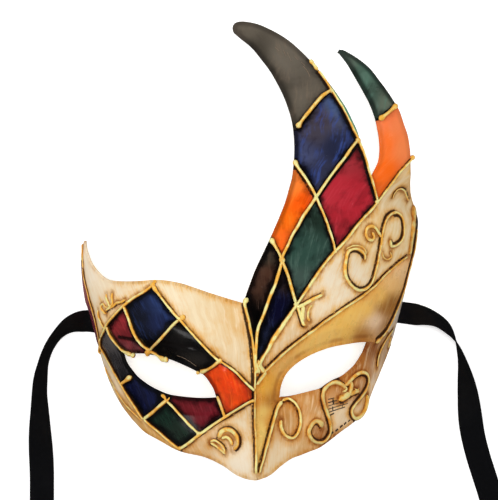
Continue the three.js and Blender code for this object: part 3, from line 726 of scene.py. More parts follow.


# Old ink on the paper that shows through on the right cheek, as staves, note heads and dashes, none of them
# letters; scratches, where the paint has worn; and a painted highlight along the black lid's edge
ink = {
    "lift": 0.06,
    "crown": 1.4,              # of the lift, in a stroke's middle
    "root": 2,
    "step": 0.9,
    "strokes": [
        {"at": [(328, 399.5), (334, 398)], "wide": 0.5}, {"at": [(328, 402.7), (337, 400.3)], "wide": 0.5},
        {"at": [(328, 406), (336, 403.7), (346, 401)], "wide": 0.4},
        {"at": [(328, 409.3), (337, 406.5), (348, 403.3)], "wide": 0.4},
        {"at": [(328, 412.6), (336, 409.8), (345, 407)], "wide": 0.5},
        {"at": [(333, 399.3), (333.4, 404)], "wide": 1.0},
        {"at": [(332.5, 406.5), (332.8, 411)], "wide": 0.6},
        {"at": [(342.6, 404.6), (341.8, 409)], "wide": 0.4},
        {"at": [(343.6, 402), (343.4, 404)], "wide": 0.6},
        {"at": [(329, 415.9), (334, 413.2)], "wide": 0.75},
        {"at": [(330.6, 434), (333.4, 432)], "wide": 1.1}, {"at": [(335.4, 431), (338, 429)], "wide": 1.1},
        {"at": [(340, 427.4), (342.6, 425.2)], "wide": 1.1},
        {"at": [(344, 424.6), (346.4, 422.4)], "wide": 1.0},
        {"at": [(348.2, 421.8), (350, 419.8)], "wide": 0.8},
        {"at": [(257, 376.5), (257.8, 380.5)], "wide": 1.2},
        {"at": [(303, 66), (307, 71), (310, 77)], "wide": 0.35, "worn": True},
        {"at": [(301, 62), (305, 66)], "wide": 0.3, "worn": True},
        {"at": [(283, 50), (286, 56)], "wide": 0.3, "worn": True},
        {"at": [(287, 52), (291, 61)], "wide": 0.25, "worn": True},
        {"at": [(275, 47), (279, 51)], "wide": 0.25, "worn": True},
        {"at": [(294, 56), (298, 60)], "wide": 0.25, "worn": True},
        # not a scratch: a painted highlight, the streak of light along the black lid's lower edge
        {"at": [(177, 355.5), (183, 357.5), (190, 361.5), (196.5, 366)], "wide": 0.3, "worn": True},
    ],
}


def makeInkMarks():
    points = []
    faces = []
    worn = []
    for stroke in ink["strokes"]:
        path = smoothPath(stroke["at"], ink["step"])
        centres, normals = skinFrames(path)
        centres += normals * unevenness(patternOf(path), face)[:, None]
        ahead = unit(np.gradient(centres, axis=0))
        side = np.cross(ahead, normals) * stroke["wide"] / 2
        lift = normals * ink["lift"]
        rings = np.stack([centres - side + lift, centres + lift * ink["crown"], centres + side + lift,
                          centres - lift * ink["root"]], 1)
        count = addStrip(points, faces, rings, flip=True)
        worn += [int(stroke.get("worn", False))] * count
    obj = makeMesh("inkMarks", points, faces)
    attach(obj, "root")
    return obj, np.array(worn)


inkPiece, inkSlots = makeInkMarks()


# Painted panels: a place inside each, and a few of its colours at places in it, some of them painted light or
# shade, as marked
# border: black glaze along its lines, and painted shade. patina: brown glaze. brush: strokes' strength.
# rough, metal: finish.
ivory = {"border": 0.0, "patina": 1.0, "brush": 0.55, "rough": 0.34}
enamel = {"border": 1.0, "patina": 0.0, "brush": 0.65, "rough": 0.22}
deepEnamel = {**enamel, "border": 1.6, "brush": 0.4}
gilt = {"border": 0.0, "patina": 0.7, "brush": 0.25, "rough": 0.3, "metal": 0.1}
# The gilding's colours, with painted light: a painted reflection at (376, 321), a pale sheen at (400, 270),
# painted shade at (391, 303) and (385, 309) where the brow turns away, and a painted highlight down the nose
giltTonesAndLight = {
    (400, 270): (255, 208, 150), (392, 284): (252, 198, 124), (380, 296): (252, 196, 98),
    (366, 310): (250, 196, 94), (391, 303): (160, 98, 26), (385, 309): (158, 96, 22),
    (376, 321): (248, 212, 176), (386, 326): (168, 112, 52), (350, 316): (252, 202, 104),
    (345, 330): (250, 198, 98), (312, 345): (252, 202, 108), (362, 336): (190, 128, 56),
    (285, 364): (240, 184, 100), (263, 388): (252, 188, 72), (272, 401): (190, 122, 44),
    (262, 412): (255, 216, 120), (269, 420): (232, 166, 74), (259, 452): (255, 220, 128),
    (328, 338): (252, 202, 108), (263, 428): (255, 220, 126), (258, 400): (230, 148, 44),
}
panels = {
    # hornTip: the dark tones along its inner edge are painted shade, where that edge turns away
    "hornTip": {"inside": [(270, 60)], "stroke": (120, 104, 88), **enamel, "border": 0.5, "brush": 0.45,
        "rough": 0.5, "tones": {(245, 32): (98, 90, 78), (285, 58): (104, 96, 84), (303, 100): (98, 90, 78),
        (246, 51): (48, 43, 36), (264, 76): (46, 41, 34), (278, 104): (50, 45, 38),
        (287, 136): (60, 55, 46)}},
    # blueHorn: its lighter tone at the top, (334, 106), is a painted sheen
    "blueHorn": {"inside": [(325, 135)], "stroke": (56, 80, 156), **enamel,
        "tones": {(334, 106): (72, 90, 128), (322, 116): (72, 62, 68), (312, 132): (66, 60, 70),
        (302, 150): (68, 74, 108), (335, 148): (34, 38, 62), (318, 178): (46, 48, 70)}},
    "crimsonHorn": {"inside": [(350, 190)], "stroke": (198, 50, 64), **enamel,
        "tones": {(356, 155): (158, 40, 48), (345, 195): (184, 34, 48), (337, 240): (156, 30, 40)}},
    "greenSliver": {"inside": [(347.6, 111)], "stroke": (96, 160, 138), **enamel, "border": 0.0,
        "tones": {(345, 110): (74, 140, 118)}},
    "orangeHorn": {"inside": [(295, 215)], "stroke": (255, 132, 40), **enamel, "border": 0.55,
        "tones": {(283, 220): (252, 108, 10), (302, 202): (250, 88, 4), (284, 240): (249, 104, 30),
        (292, 185): (252, 130, 50)}},
    "greenHorn": {"inside": [(310, 250)], "stroke": (78, 104, 92), **enamel,
        "tones": {(316, 215): (30, 46, 37), (305, 250): (44, 72, 62), (302, 285): (62, 80, 72)}},
    "blackHorn": {"inside": [(265, 275), (251, 322)], "stroke": (92, 66, 52), **deepEnamel,
        "tones": {(270, 255): (55, 50, 40), (268, 275): (70, 44, 32), (258, 320): (4, 3, 3)}},
    "navyHorn": {"inside": [(275, 310)], "stroke": (38, 48, 88), **deepEnamel,
        "tones": {(283, 278): (52, 40, 38), (278, 305): (7, 7, 34), (265, 345): (24, 28, 46)}},
    # orangeSmallHorn: the paler tones at its right edge, (404, 148) and (399, 122), are a painted sheen
    "orangeSmallHorn": {"inside": [(395, 150)], "stroke": (255, 140, 72), **enamel, "border": 0.2,
        "brush": 0.3, "tones": {(388, 116): (248, 122, 66), (386, 145): (252, 114, 40),
        (384, 170): (252, 106, 20), (404, 148): (250, 136, 76), (399, 122): (250, 134, 78)}},
    "greenSmallHorn": {"inside": [(365, 85)], "stroke": (86, 126, 108), **enamel, "border": 0.9, "brush": 0.5,
        "tones": {(346, 60): (98, 112, 98), (355, 78): (50, 66, 54), (364, 74): (84, 114, 98),
        (371, 98): (66, 88, 76), (366, 100): (44, 54, 44), (386, 102): (98, 108, 92)}},
    "ivoryHorn": {"inside": [(330, 285)], "stroke": (252, 244, 222), **ivory,
        "tones": {(400, 190): (232, 206, 160), (340, 275): (242, 224, 194), (372, 240): (238, 210, 158),
        (285, 345): (230, 200, 156)}},
    "giltBrow": {"inside": [(350, 320)], "tones": giltTonesAndLight, "stroke": (255, 228, 160), **gilt},
    "giltNose": {"inside": [(265, 410)], "tones": giltTonesAndLight, "stroke": (255, 222, 140), **gilt},
    "rightCheek": {"inside": [(310, 415), (378, 372)], "stroke": (248, 228, 192), **ivory, "patina": 1.1,
        "brush": 0.65, "tones": {(306, 404): (206, 150, 86), (285, 455): (240, 214, 174),
        (318, 395): (194, 132, 62), (287, 420): (196, 146, 84), (372, 350): (140, 78, 18),
        (368, 373): (182, 126, 66), (270, 466): (242, 218, 178), (300, 450): (218, 174, 118),
        (343, 414): (236, 208, 170), (334, 421): (240, 214, 176), (318, 432): (166, 104, 44),
        (362, 362): (172, 106, 32), (346, 384): (182, 118, 46), (333, 440): (170, 114, 58),
        (384, 372): (240, 224, 206), (303, 441): (212, 162, 100), (306, 424): (236, 196, 142),
        (378, 385): (238, 220, 198), (386, 354): (206, 172, 138)}},
    "leftBrow": {"inside": [(210, 330), (130, 290)], "stroke": (252, 244, 220), **ivory,
        "tones": {(92, 262): (244, 228, 204), (112, 287): (240, 220, 188), (165, 290): (244, 226, 192),
        (205, 325): (238, 214, 172), (241, 318): (230, 192, 134), (232, 355): (232, 206, 164)}},
    "blueBrow": {"inside": [(155, 315)], "stroke": (46, 68, 124), **deepEnamel,
        "tones": {(165, 305): (38, 52, 92), (140, 318): (17, 20, 34), (160, 325): (26, 34, 68),
        (150, 340): (8, 9, 18)}},
    # Painted light on the left lid: crimson darker on the crease and lighter under it; black with a painted
    # highlight at its top and a paler sheen under the crease
    "crimsonBrow": {"inside": [(122, 325)], "stroke": (190, 56, 62), **deepEnamel,
        "tones": {(122, 322): (146, 42, 46), (128, 336): (100, 24, 28), (130, 347): (124, 66, 70)}},
    "blackBrow": {"inside": [(185, 340)], "stroke": (36, 33, 30), **deepEnamel, "brush": 0.25,
        "tones": {(184, 328): (34, 31, 29), (172, 341): (6, 4, 4), (192, 346): (3, 2, 2),
        (190, 361): (36, 33, 30)}},
    "orangeNose": {"inside": [(235, 385)], "stroke": (255, 104, 28), **enamel, "border": 0.8,
        "tones": {(222, 372): (236, 70, 14), (232, 378): (248, 66, 6), (236, 402): (252, 82, 8),
        (226, 404): (214, 62, 20), (250, 394): (150, 36, 14), (248, 384): (176, 46, 16),
        (241, 396): (252, 72, 6), (238, 384): (250, 66, 4)}},
    "crimsonCheek": {"inside": [(205, 415)], "stroke": (146, 40, 52), **deepEnamel,
        "tones": {(190, 405): (96, 18, 24), (210, 420): (106, 22, 32)}},
    "greenCheek": {"inside": [(170, 425)], "stroke": (34, 72, 54), **deepEnamel,
        "tones": {(165, 412): (14, 34, 25), (180, 435): (27, 38, 30)}},
    "navyCheek": {"inside": [(140, 400)], "stroke": (28, 38, 88), **deepEnamel,
        "tones": {(148, 392): (14, 18, 46), (138, 402): (9, 11, 38)}},
    # charcoalCheek: its lighter upper tone, (108, 340), is a painted sheen
    "charcoalCheek": {"inside": [(113, 352)], "stroke": (92, 90, 92), **deepEnamel, "border": 1.0,
        "tones": {(108, 340): (88, 82, 80), (116, 362): (42, 39, 40), (124, 375): (26, 25, 28)}},
    "maroonTemple": {"inside": [(82.3, 285)], "stroke": (176, 116, 116), **enamel, "border": 0.0,
        "tones": {(82, 275): (158, 88, 88), (95, 335): (124, 44, 62)}},
    "leftEdge": {"inside": [(112, 396)], "stroke": (246, 236, 210), **ivory, "patina": 0.7,
        "tones": {(109, 381): (238, 222, 198), (132, 412): (206, 164, 100), (160, 436): (214, 168, 92)}},
    "leftCheek": {"inside": [(225, 445)], "stroke": (250, 240, 220), **ivory,
        "tones": {(238, 420): (236, 212, 174), (240, 458): (246, 228, 200), (200, 446): (220, 184, 136)}},
    "rightEdge": {"inside": [(404.5, 295), (416.5, 225)], "stroke": (236, 220, 196), **ivory,
        "tones": {(416, 225): (44, 26, 10), (412, 258): (120, 82, 40), (402, 300): (218, 204, 190),
        (396, 325): (226, 212, 200)}},
}
# Where a panel's colour ends with no gold line over it
bareBorders = [
    [(297, 128), (286, 134)], [(294, 160), (286, 155)], [(309, 60), (296, 44)], [(271, 238), (262, 233)],
    [(248, 298), (240, 290)], [(396, 105), (406, 97)], [(379, 119), (370, 122)], [(413, 157), (424, 147)],
    [(309, 60), (318, 71)], [(377, 202), (370, 180)], [(414, 208), (420, 190)], [(83, 244), (82, 232)],
    [(256, 472), (258, 490)], [(375, 342.5), (366, 341)], [(250, 362), (262, 362)], [(255, 365), (265, 374)],
    [(263, 373), (284, 381)], [(259, 471), (255, 476)], [(132, 355), (133, 366)], [(200, 372), (200, 382)],
    [(217, 398), (212, 388)], [(166, 360), (168, 370)], [(132, 376.5), (142, 372)], [(167, 400), (166, 388)],
    [(180, 448), (178, 462)], [(101, 346), (92, 350)], [(414, 208), (413, 199)], [(409, 255), (407, 256)],
    [(416.4, 229), (418, 222)], [(407, 256), (413.5, 252)], [(86, 262), (76, 262)],
    [(282, 401.5), (280, 394)], [(387, 331), (400, 345)],
]

shell = {
    "grid": 1.0,
    "rowShare": 0.866,         # of the grid, between its rows
    "jitter": 0.08,
    "clear": 0.55,             # of the grid, kept free beside every line
    "overrun": 2.2,            # pixels
    "rim": 0.85,               # how far the cut edge is rounded
    "rimOut": 0.35,
    "rimSteps": 4,
    "rimSharp": 0.6,
    "mitre": 2,
    "leastMitre": 0.2,
    "narrow": 0.4,             # of its width, by which a narrow place may shrink from each side
    "edgeWall": 0.62,          # of the wall, at a cut edge
    "edgeReach": 6,
    "overFloor": 0.03,
    "lumpHeight": 0.3,
    "lumps": [(8, 9, 0.6), (3, 10, 0.4)],  # each one's size, seed and share, on the back
    # the left upper lid's crease: a shallow groove in the face, with painted shade along it
    "lidCrease": [(114, 336), (119, 337), (127, 338.5), (135, 340), (143, 341.5), (152, 342), (162, 342.5),
                  (172, 344), (182, 346), (192, 347.5), (202, 350)],
    "creaseDepth": 0.35,
    "creaseWidth": 0.8,
    "creaseFade": 3,           # mm by which it ends sooner
    "fan": 0.007,              # how the brush strokes spread upwards, for each mm
    "leastFan": 0.4,
    "fanFrom": (263, 345),
    "wiped": [((87, 256), 16), ((105, 284), 11), ((240, 462), 14)],  # places with less glaze, and how wide
    "wipe": 0.75,
    "toneNear": 50,            # square pixels within which a tone doesn't grow stronger
    "toneSharp": 1.9,
    "lineReach": 30.0,         # mm beyond which no distance to a line is kept
    "darkReach": 9.0,
}


def outlineLoop():
    # The whole cut edge in the flat pattern, run so that the mask is on its left
    names = ["lower", "rightTemple", "outerSmallHorn", "innerSmallHorn", "outerHorn", "innerHorn",
             "upperLeft", "leftTemple"]
    step = shell["grid"] / pixelOnFace
    runs = [templeRun(name) if "Temple" in name else patternOf(smoothPath(outline[name], step))[:-1]
            for name in names]
    return np.vstack(runs)


def templeRun(name):
    # A temple's edge lies on the floor, but for the arch over its ribbon
    ends = patternOf(np.array([outline[name][0], outline[name][-1]], float))
    y = np.linspace(ends[0, 1], ends[1, 1], int(abs(ends[0, 1] - ends[1, 1]) / shell["grid"]))[:-1]
    hand = 1 if name == "rightTemple" else -1
    exit = alongRay(ribbonExits[0 if hand < 0 else 1], 0)
    off = (y - exit[1]) / (ribbonArch["length"] / 2)
    rise = ribbonArch["height"] * np.sqrt(np.maximum(0, 1 - off**2))
    _, drop = archAt(np.full_like(y, hand), y)
    angle = np.arccos(np.clip(1 - (crestHeight(y) - rise) / drop, -1, 1))
    return np.stack([hand * angle * face["spread"], y], -1)


def inset(loop, distance):
    # Moves a closed path to its left, less where it is narrow, and says how far each point went
    ahead = np.roll(loop, -1, axis=0) - loop
    length = np.linalg.norm(ahead, axis=1)
    ahead /= length[:, None]
    behind = np.roll(ahead, 1, axis=0)
    inward = np.stack([-(ahead + behind)[:, 1], (ahead + behind)[:, 0]], -1)
    inward /= np.maximum(np.linalg.norm(inward, axis=1, keepdims=True), 1e-6)
    square = np.einsum("ij,ij->i", inward, np.stack([-ahead[:, 1], ahead[:, 0]], -1))
    mitre = np.minimum(shell["mitre"], 1 / np.maximum(shell["leastMitre"], square))
    run = np.concatenate([[0], np.cumsum(length)])
    around = np.abs(run[:-1, None] - run[None, :-1])
    around = np.minimum(around, run[-1] - around)
    straight = np.linalg.norm(loop[:, None] - loop[None, :], axis=2)
    width = np.where(around > 2 * straight + 0.5, straight, 99).min(axis=1)
    width = np.minimum(width, np.minimum(np.roll(width, 1), np.roll(width, -1)) + 1)
    moved = np.minimum(distance, shell["narrow"] * width)
    return loop + inward * (moved * np.minimum(mitre, 1 + moved))[:, None], moved


def overrun(path):
    # Runs a path on a little at both ends, so that it surely crosses what it meets
    first = path[0] - (path[1] - path[0]) / np.linalg.norm(path[1] - path[0]) * shell["overrun"]
    last = path[-1] + (path[-1] - path[-2]) / np.linalg.norm(path[-1] - path[-2]) * shell["overrun"]
    return np.vstack([first, path, last])


def isOnShell(points, loops):
    inside = isInside(points, loops[0])
    for hole in loops[1:]:
        inside &= ~isInside(points, hole)
    return inside


def gridWithin(loop):
    # Points in staggered rows over the loop's box
    step = shell["grid"]
    low = loop.min(axis=0)
    high = loop.max(axis=0)
    grid = []
    for i, y in enumerate(np.arange(low[1], high[1], step * shell["rowShare"])):
        x = np.arange(low[0] + (step / 2) * (i % 2), high[0], step)
        grid.append(np.stack([x, np.full_like(x, y)], -1))
    return np.vstack(grid)


def flatPattern():
    # Triangles of the flat pattern, with their corners on every line, and the cut edges' roundness
    cuts = [inset(loop, shell["rim"]) for loop in [outlineLoop(), *map(patternOf, eyeHoles)]]
    loops = [loop for loop, _ in cuts]
    borders = [patternOf(overrun(path)) for path in [*linePaths, *map(smoothPath, bareBorders)]]
    points = []
    edges = []
    cutCount = sum(map(len, loops))
    for number, path in enumerate([*loops, *borders]):
        start = len(points)
        last = len(path) if number < len(loops) else len(path) - 1
        points += path.tolist()
        edges += [(start + i, start + (i + 1) % len(path)) for i in range(last)]
    grid = gridWithin(loops[0])
    grid = grid[isOnShell(grid, loops)]
    clear = nearestGap(grid, np.array(points)) > shell["clear"] * shell["grid"]
    points += (grid[clear] + rng.uniform(-shell["jitter"], shell["jitter"], (clear.sum(), 2))).tolist()
    made = delaunay_2d_cdt(points, edges, [], 0, 1e-5, True)
    spots = np.array([tuple(v) for v in made[0]])
    triangles = np.array([f for f in made[2] if len(f) == 3])
    triangles = triangles[isOnShell(spots[triangles].mean(axis=1), loops)]
    walls = {tuple(sorted(e)) for e, sources in zip(made[1], made[4]) if any(s >= cutCount for s in sources)}
    return spots, triangles, walls, np.vstack(loops), np.concatenate([moved for _, moved in cuts])


def nearestGap(points, others, size=4.0, far=9.0):
    # Distance from each point to the nearest of the others, looked up in coarse squares
    squares = {}
    for k, (x, y) in enumerate(others):
        squares.setdefault((int(x // size), int(y // size)), []).append(k)
    members = {}
    for k, cell in enumerate(map(tuple, np.floor(points / size).astype(int))):
        members.setdefault(cell, []).append(k)
    gaps = np.full(len(points), far)
    for (cx, cy), inCell in members.items():
        near = [k for dx in (-1, 0, 1) for dy in (-1, 0, 1) for k in squares.get((cx + dx, cy + dy), [])]
        if near:
            gaps[inCell] = np.linalg.norm(points[inCell][:, None] - others[near][None], axis=2).min(axis=1)
    return gaps


def panelOfFaces(centres, triangles, walls):
    # Fills each panel from a place inside it, as far as the lines around it
    beside = {}
    for number, corners in enumerate(triangles):
        for a, b in ((0, 1), (1, 2), (2, 0)):
            key = (min(corners[a], corners[b]), max(corners[a], corners[b]))
            if key not in walls:
                beside.setdefault(key, []).append(number)
    links = [[] for _ in triangles]
    for pair in beside.values():
        if len(pair) == 2:
            links[pair[0]].append(pair[1])
            links[pair[1]].append(pair[0])
    names = list(panels)
    found = np.full(len(triangles), -1)
    for number, name in enumerate(names):
        for seed in panels[name]["inside"]:
            first = int(np.argmin(np.linalg.norm(centres - seed, axis=1)))
            if found[first] not in (-1, number):
                print("panel", name, "runs into", names[found[first]])
                continue
            queue = [first]
            found[first] = number
            while queue:
                for other in links[queue.pop()]:
                    if found[other] < 0:
                        found[other] = number
                        queue.append(other)
        print("panel", name, int((found == number).sum()))
    claimed = np.where(found >= 0)[0]
    for number in np.where(found < 0)[0]:
        found[number] = found[claimed[np.argmin(np.hypot(*(centres[claimed] - centres[number]).T))]]
    return found


def toneAt(pixels, tones):
    # Blends a panel's few colours over it, by distance
    gaps = np.linalg.norm(pixels[:, None] - np.array(list(tones), float)[None], axis=2)
    weight = 1 / (gaps ** 2 + shell["toneNear"]) ** shell["toneSharp"]
    return (weight / weight.sum(axis=1, keepdims=True)) @ toLinear(list(tones.values()))


def lineFields(spots):
    # Distance over the flat pattern past a gold line's edge, and past a dark glaze line's, mm
    lineGap = np.full(len(spots), shell["lineReach"])
    darkGap = np.full(len(spots), shell["darkReach"])
    for line, path in zip(goldLines, linePaths):
        gap, side, along = distanceTo(spots, patternOf(path))
        gap = gap - gold["width"] / 2 * line.get("wide", 1)
        lineGap = np.minimum(lineGap, gap)
        if "dark" in line:
            hand, width = line["dark"]
            beside = (side == -hand) & (along > 0) & (along < 1)
            past = gap - width * gold["darkShare"] * pixelOnFace
            darkGap = np.where(beside, np.minimum(darkGap, past), darkGap)
    return lineGap, darkGap


def shellSides(spots):
    # Front and back over the flat pattern, the way out of the arch, the pixels, and distances for the paint
    outward = archOut(spots[:, 0] / face["spread"], spots[:, 1])
    front, pixels = skinAt(spots)
    crease = shell["lidCrease"]
    fade = smoothstep(pixels[:, 0], crease[0][0], crease[1][0])
    fade = fade * smoothstep(pixels[:, 0], crease[-1][0], crease[-2][0])
    creaseGap = distanceTo(spots, patternOf(smoothPath(crease)))[0] + shell["creaseFade"] * (1 - fade)
    creased = shell["creaseDepth"] * np.exp(-(creaseGap / shell["creaseWidth"]) ** 2)
    front = front - outward * creased[:, None]
    front = front + outward * unevenness(spots, face)[:, None]
    cuts = [(path, False) for path in cutEdges] + [(hole, True) for hole in eyeHoles]
    edgeGap = np.min([distanceTo(spots, patternOf(path), closed)[0] for path, closed in cuts], axis=0)
    thick = shell["edgeWall"] + (1 - shell["edgeWall"]) * smoothstep(edgeGap, 0, shell["edgeReach"])
    back = front - outward * (face["wall"] * thick - unevenness(spots, shell))[:, None]
    return front, back, outward, pixels, edgeGap, creaseGap


def paintPanels(mesh, cornerPanel, cornerPixel):
    # Each panel's colours and finish, on the corners of its faces
    layers = {name: np.ones((len(cornerPanel), 4)) for name in ("paint", "stroke", "finish")}
    for number, panel in enumerate(panels.values()):
        mine = cornerPanel == number
        layers["paint"][mine, :3] = toneAt(cornerPixel[mine], panel["tones"])
        layers["paint"][mine, 3] = panel.get("metal", 0)
        layers["stroke"][mine, :3] = toLinear(panel["stroke"])
        layers["finish"][mine] = [panel[part] for part in ("border", "patina", "brush", "rough")]
    for at, reach in shell["wiped"]:
        wiped = np.exp(-(np.linalg.norm(cornerPixel - at, axis=1) / reach) ** 2)
        layers["finish"][:, 1] *= 1 - shell["wipe"] * wiped
    for name, values in layers.items():
        setValues(mesh, name, "FLOAT_COLOR", "CORNER", values)


def makeShell():
    spots, triangles, walls, loop, rounds = flatPattern()
    used = np.unique(triangles)
    renumber = np.full(len(spots), -1)
    renumber[used] = np.arange(len(used))
    walls = {tuple(sorted((int(renumber[a]), int(renumber[b])))) for a, b in walls}
    triangles = renumber[triangles]
    spots = spots[used]
    count = len(spots)
    print("flat pattern:", count, "points,", len(triangles), "triangles")
    front, back, outward, pixels, edgeGap, creaseGap = shellSides(spots)

    # The rim: rings of points around the cut edges, from the front to the back
    directed = {pair: number for number, (a, b, c) in enumerate(triangles)
                for pair in ((a, b), (b, c), (c, a))}
    rimEdges = [pair for pair in directed if pair[::-1] not in directed]
    after = dict(rimEdges)
    before = {b: a for a, b in rimEdges}
    rim = np.array(sorted(after))
    place = {int(p): k for k, p in enumerate(rim)}
    out = unit(np.cross(front[[after[p] for p in rim]] - front[[before[p] for p in rim]], outward[rim]))
    nearest = [np.argmin(np.hypot(*(loop - spots[p]).T)) for p in rim]
    reach = rounds[nearest][:, None] + shell["rimOut"]
    middle = (front[rim] + back[rim]) / 2
    half = (front[rim] - back[rim]) / 2
    levels = [rim]
    points = [front, back]
    for k in range(shell["rimSteps"]):
        t = math.pi * (k + 1) / (shell["rimSteps"] + 1)
        lean = math.copysign(abs(math.cos(t)) ** shell["rimSharp"], math.cos(t))
        points.append(middle + half * lean + out * reach * math.sin(t) ** shell["rimSharp"])
        levels.append(2 * count + k * len(rim) + np.arange(len(rim)))
    levels.append(count + rim)
    points = np.vstack(points)
    points[:, 2] = np.maximum(points[:, 2], shell["overFloor"])
    faces = [tuple(t) for t in triangles]
    owner = list(range(len(triangles)))
    for a, b in rimEdges:
        for low, high in zip(levels, levels[1:]):
            faces.append((low[place[b]], low[place[a]], high[place[a]], high[place[b]]))
            owner.append(directed[(a, b)])
    frontCount = len(faces)
    faces += [(a + count, c + count, b + count) for a, b, c in triangles]
    owner += range(len(triangles))
    obj = makeMesh("maskShell", points, faces)
    mesh = obj.data
    if len(mesh.polygons) != len(faces):
        print("faces lost:", len(faces) - len(mesh.polygons))

    facePanel = panelOfFaces(pixels[triangles].mean(axis=1), triangles, walls)[owner]
    source = np.concatenate([np.arange(count), np.arange(count), np.tile(rim, shell["rimSteps"])])
    corners = np.zeros(len(mesh.loops), int)
    mesh.loops.foreach_get("vertex_index", corners)
    sides = np.zeros(len(mesh.polygons), int)
    mesh.polygons.foreach_get("loop_total", sides)
    paintPanels(mesh, np.repeat(facePanel, sides), pixels[source[corners]])
    gaps = (*lineFields(spots), edgeGap, creaseGap)
    for name, values in zip(("lineGap", "darkGap", "edgeGap", "creaseGap"), gaps):
        setValues(mesh, name, "FLOAT", "POINT", values[source])
    sheet = np.column_stack([spots, np.zeros(count)])
    grain = sheet.copy()
    x, y = patternOf(np.array([shell["fanFrom"]], float))[0]
    grain[:, 0] = (sheet[:, 0] - x) / np.maximum(shell["leastFan"], 1 + shell["fan"] * (sheet[:, 1] - y))
    for name, values in (("sheet", sheet), ("grain", grain)):
        setValues(mesh, name, "FLOAT_VECTOR", "POINT", values[source])
    slots = np.zeros(len(mesh.polygons), int)
    slots[frontCount:] = 1
    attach(obj, "root")
    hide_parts("mask_shell")
    print("shell made:", len(points), "points,", len(faces), "faces")
    return obj, slots


shellPiece, shellSlots = makeShell()


# Shaders. A field is an output of a node. Sums, products, ramps and mixes of fields make the nodes they need.
def addNode(tree, kind, settings, *values, **inputs):
    made = tree.nodes.new("ShaderNode" + kind)
    for name, value in settings.items():
        setattr(made, name, value)
    for socket, value in zip(made.inputs, values):
        feed(socket, value)
    setInputs(made, inputs)
    return made


def setInputs(node, inputs):
    for name, value in inputs.items():
        feed(node.inputs[name], value)


def feed(socket, value):
    if isinstance(value, Field):
        value.tree.links.new(value.socket, socket)
    else:
        socket.default_value = value


class Field:
    def __init__(self, node, output=0):
        self.tree = node.id_data
        self.socket = node.outputs[output]

    def math(self, operation, *values):
        return Field(addNode(self.tree, "Math", {"operation": operation}, self, *values))

    def __add__(self, other):
        return self.math("ADD", other)

    def __sub__(self, other):
        return self.math("SUBTRACT", other)

    def __mul__(self, other):
        return self.math("MULTIPLY", other)

    def least(self, other):
        return self.math("MINIMUM", other)

    def most(self, other):
        return self.math("MAXIMUM", other)

    def clamped(self):
        return Field(addNode(self.tree, "Clamp", {}, self))

    def ramp(self, low, high, start=0.0, end=1.0):
        # start where the field is low, end where it is high, and a smooth run between
        ease = {"interpolation_type": "SMOOTHSTEP"}
        return Field(addNode(self.tree, "MapRange", ease, self, low, high, start, end))

    def mix(self, a, b, kind="MIX"):
        # The first colour where the field is 0, and the second where it is 1
        made = addNode(self.tree, "Mix", {"data_type": "RGBA", "blend_type": kind}, self)
        feed(made.inputs[6], a)
        feed(made.inputs[7], b)
        return Field(made, 2)

    def noise(self, scale, detail=3.0, roughness=0.55):
        return Field(addNode(self.tree, "TexNoise", {}, Vector=self, Scale=scale, Detail=detail,
                             Roughness=roughness))

    def streaked(self, stretch, detail, roughness):
        stretched = Field(addNode(self.tree, "Mapping", {}, Vector=self, Scale=stretch))
        return stretched.noise(1.0, detail, roughness)

    def bump(self, strength, depth):
        return Field(addNode(self.tree, "Bump", {}, Height=self, Strength=strength, Distance=depth / 1000))


def attribute(tree, name, output="Fac"):
    return Field(addNode(tree, "Attribute", {"attribute_name": name}), output)


def newMaterial(name):
    material = bpy.data.materials.new(name)
    material.use_nodes = True
    return material, material.node_tree, material.node_tree.nodes["Principled BSDF"]


def tint(red, green, blue):
    return (*toLinear((red, green, blue)), 1)


# Streaks left by a brush drawn along Y: broad strokes, fine bristle lines and dabs. Places are in mm.
brush = {
    "waver": (0.06, 1.0),
    "sway": 5.0,
    "Strokes": ((0.42, 0.075, 1), 3.0, 0.6),
    "Bristles": ((1.3, 0.07, 1), 4.0, 0.7),
    "dabs": (0.16, 3.0, 0.55),
}


def makeBrushGroup():
    group = bpy.data.node_groups.new("brushMarks", "ShaderNodeTree")
    group.interface.new_socket("Place", in_out="INPUT", socket_type="NodeSocketVector")
    for name in ("Strokes", "Bristles", "Dabs"):
        group.interface.new_socket(name, in_out="OUTPUT", socket_type="NodeSocketFloat")
    place = Field(group.nodes.new("NodeGroupInput"))
    sway = Field(addNode(group, "CombineXYZ", {}, place.noise(*brush["waver"]) * brush["sway"]))
    bent = Field(addNode(group, "VectorMath", {"operation": "ADD"}, place, sway))
    marks = {name: bent.streaked(*brush[name]) for name in ("Strokes", "Bristles")}
    setInputs(group.nodes.new("NodeGroupOutput"), {**marks, "Dabs": place.noise(*brush["dabs"])})
    return group


brushMarks = makeBrushGroup()

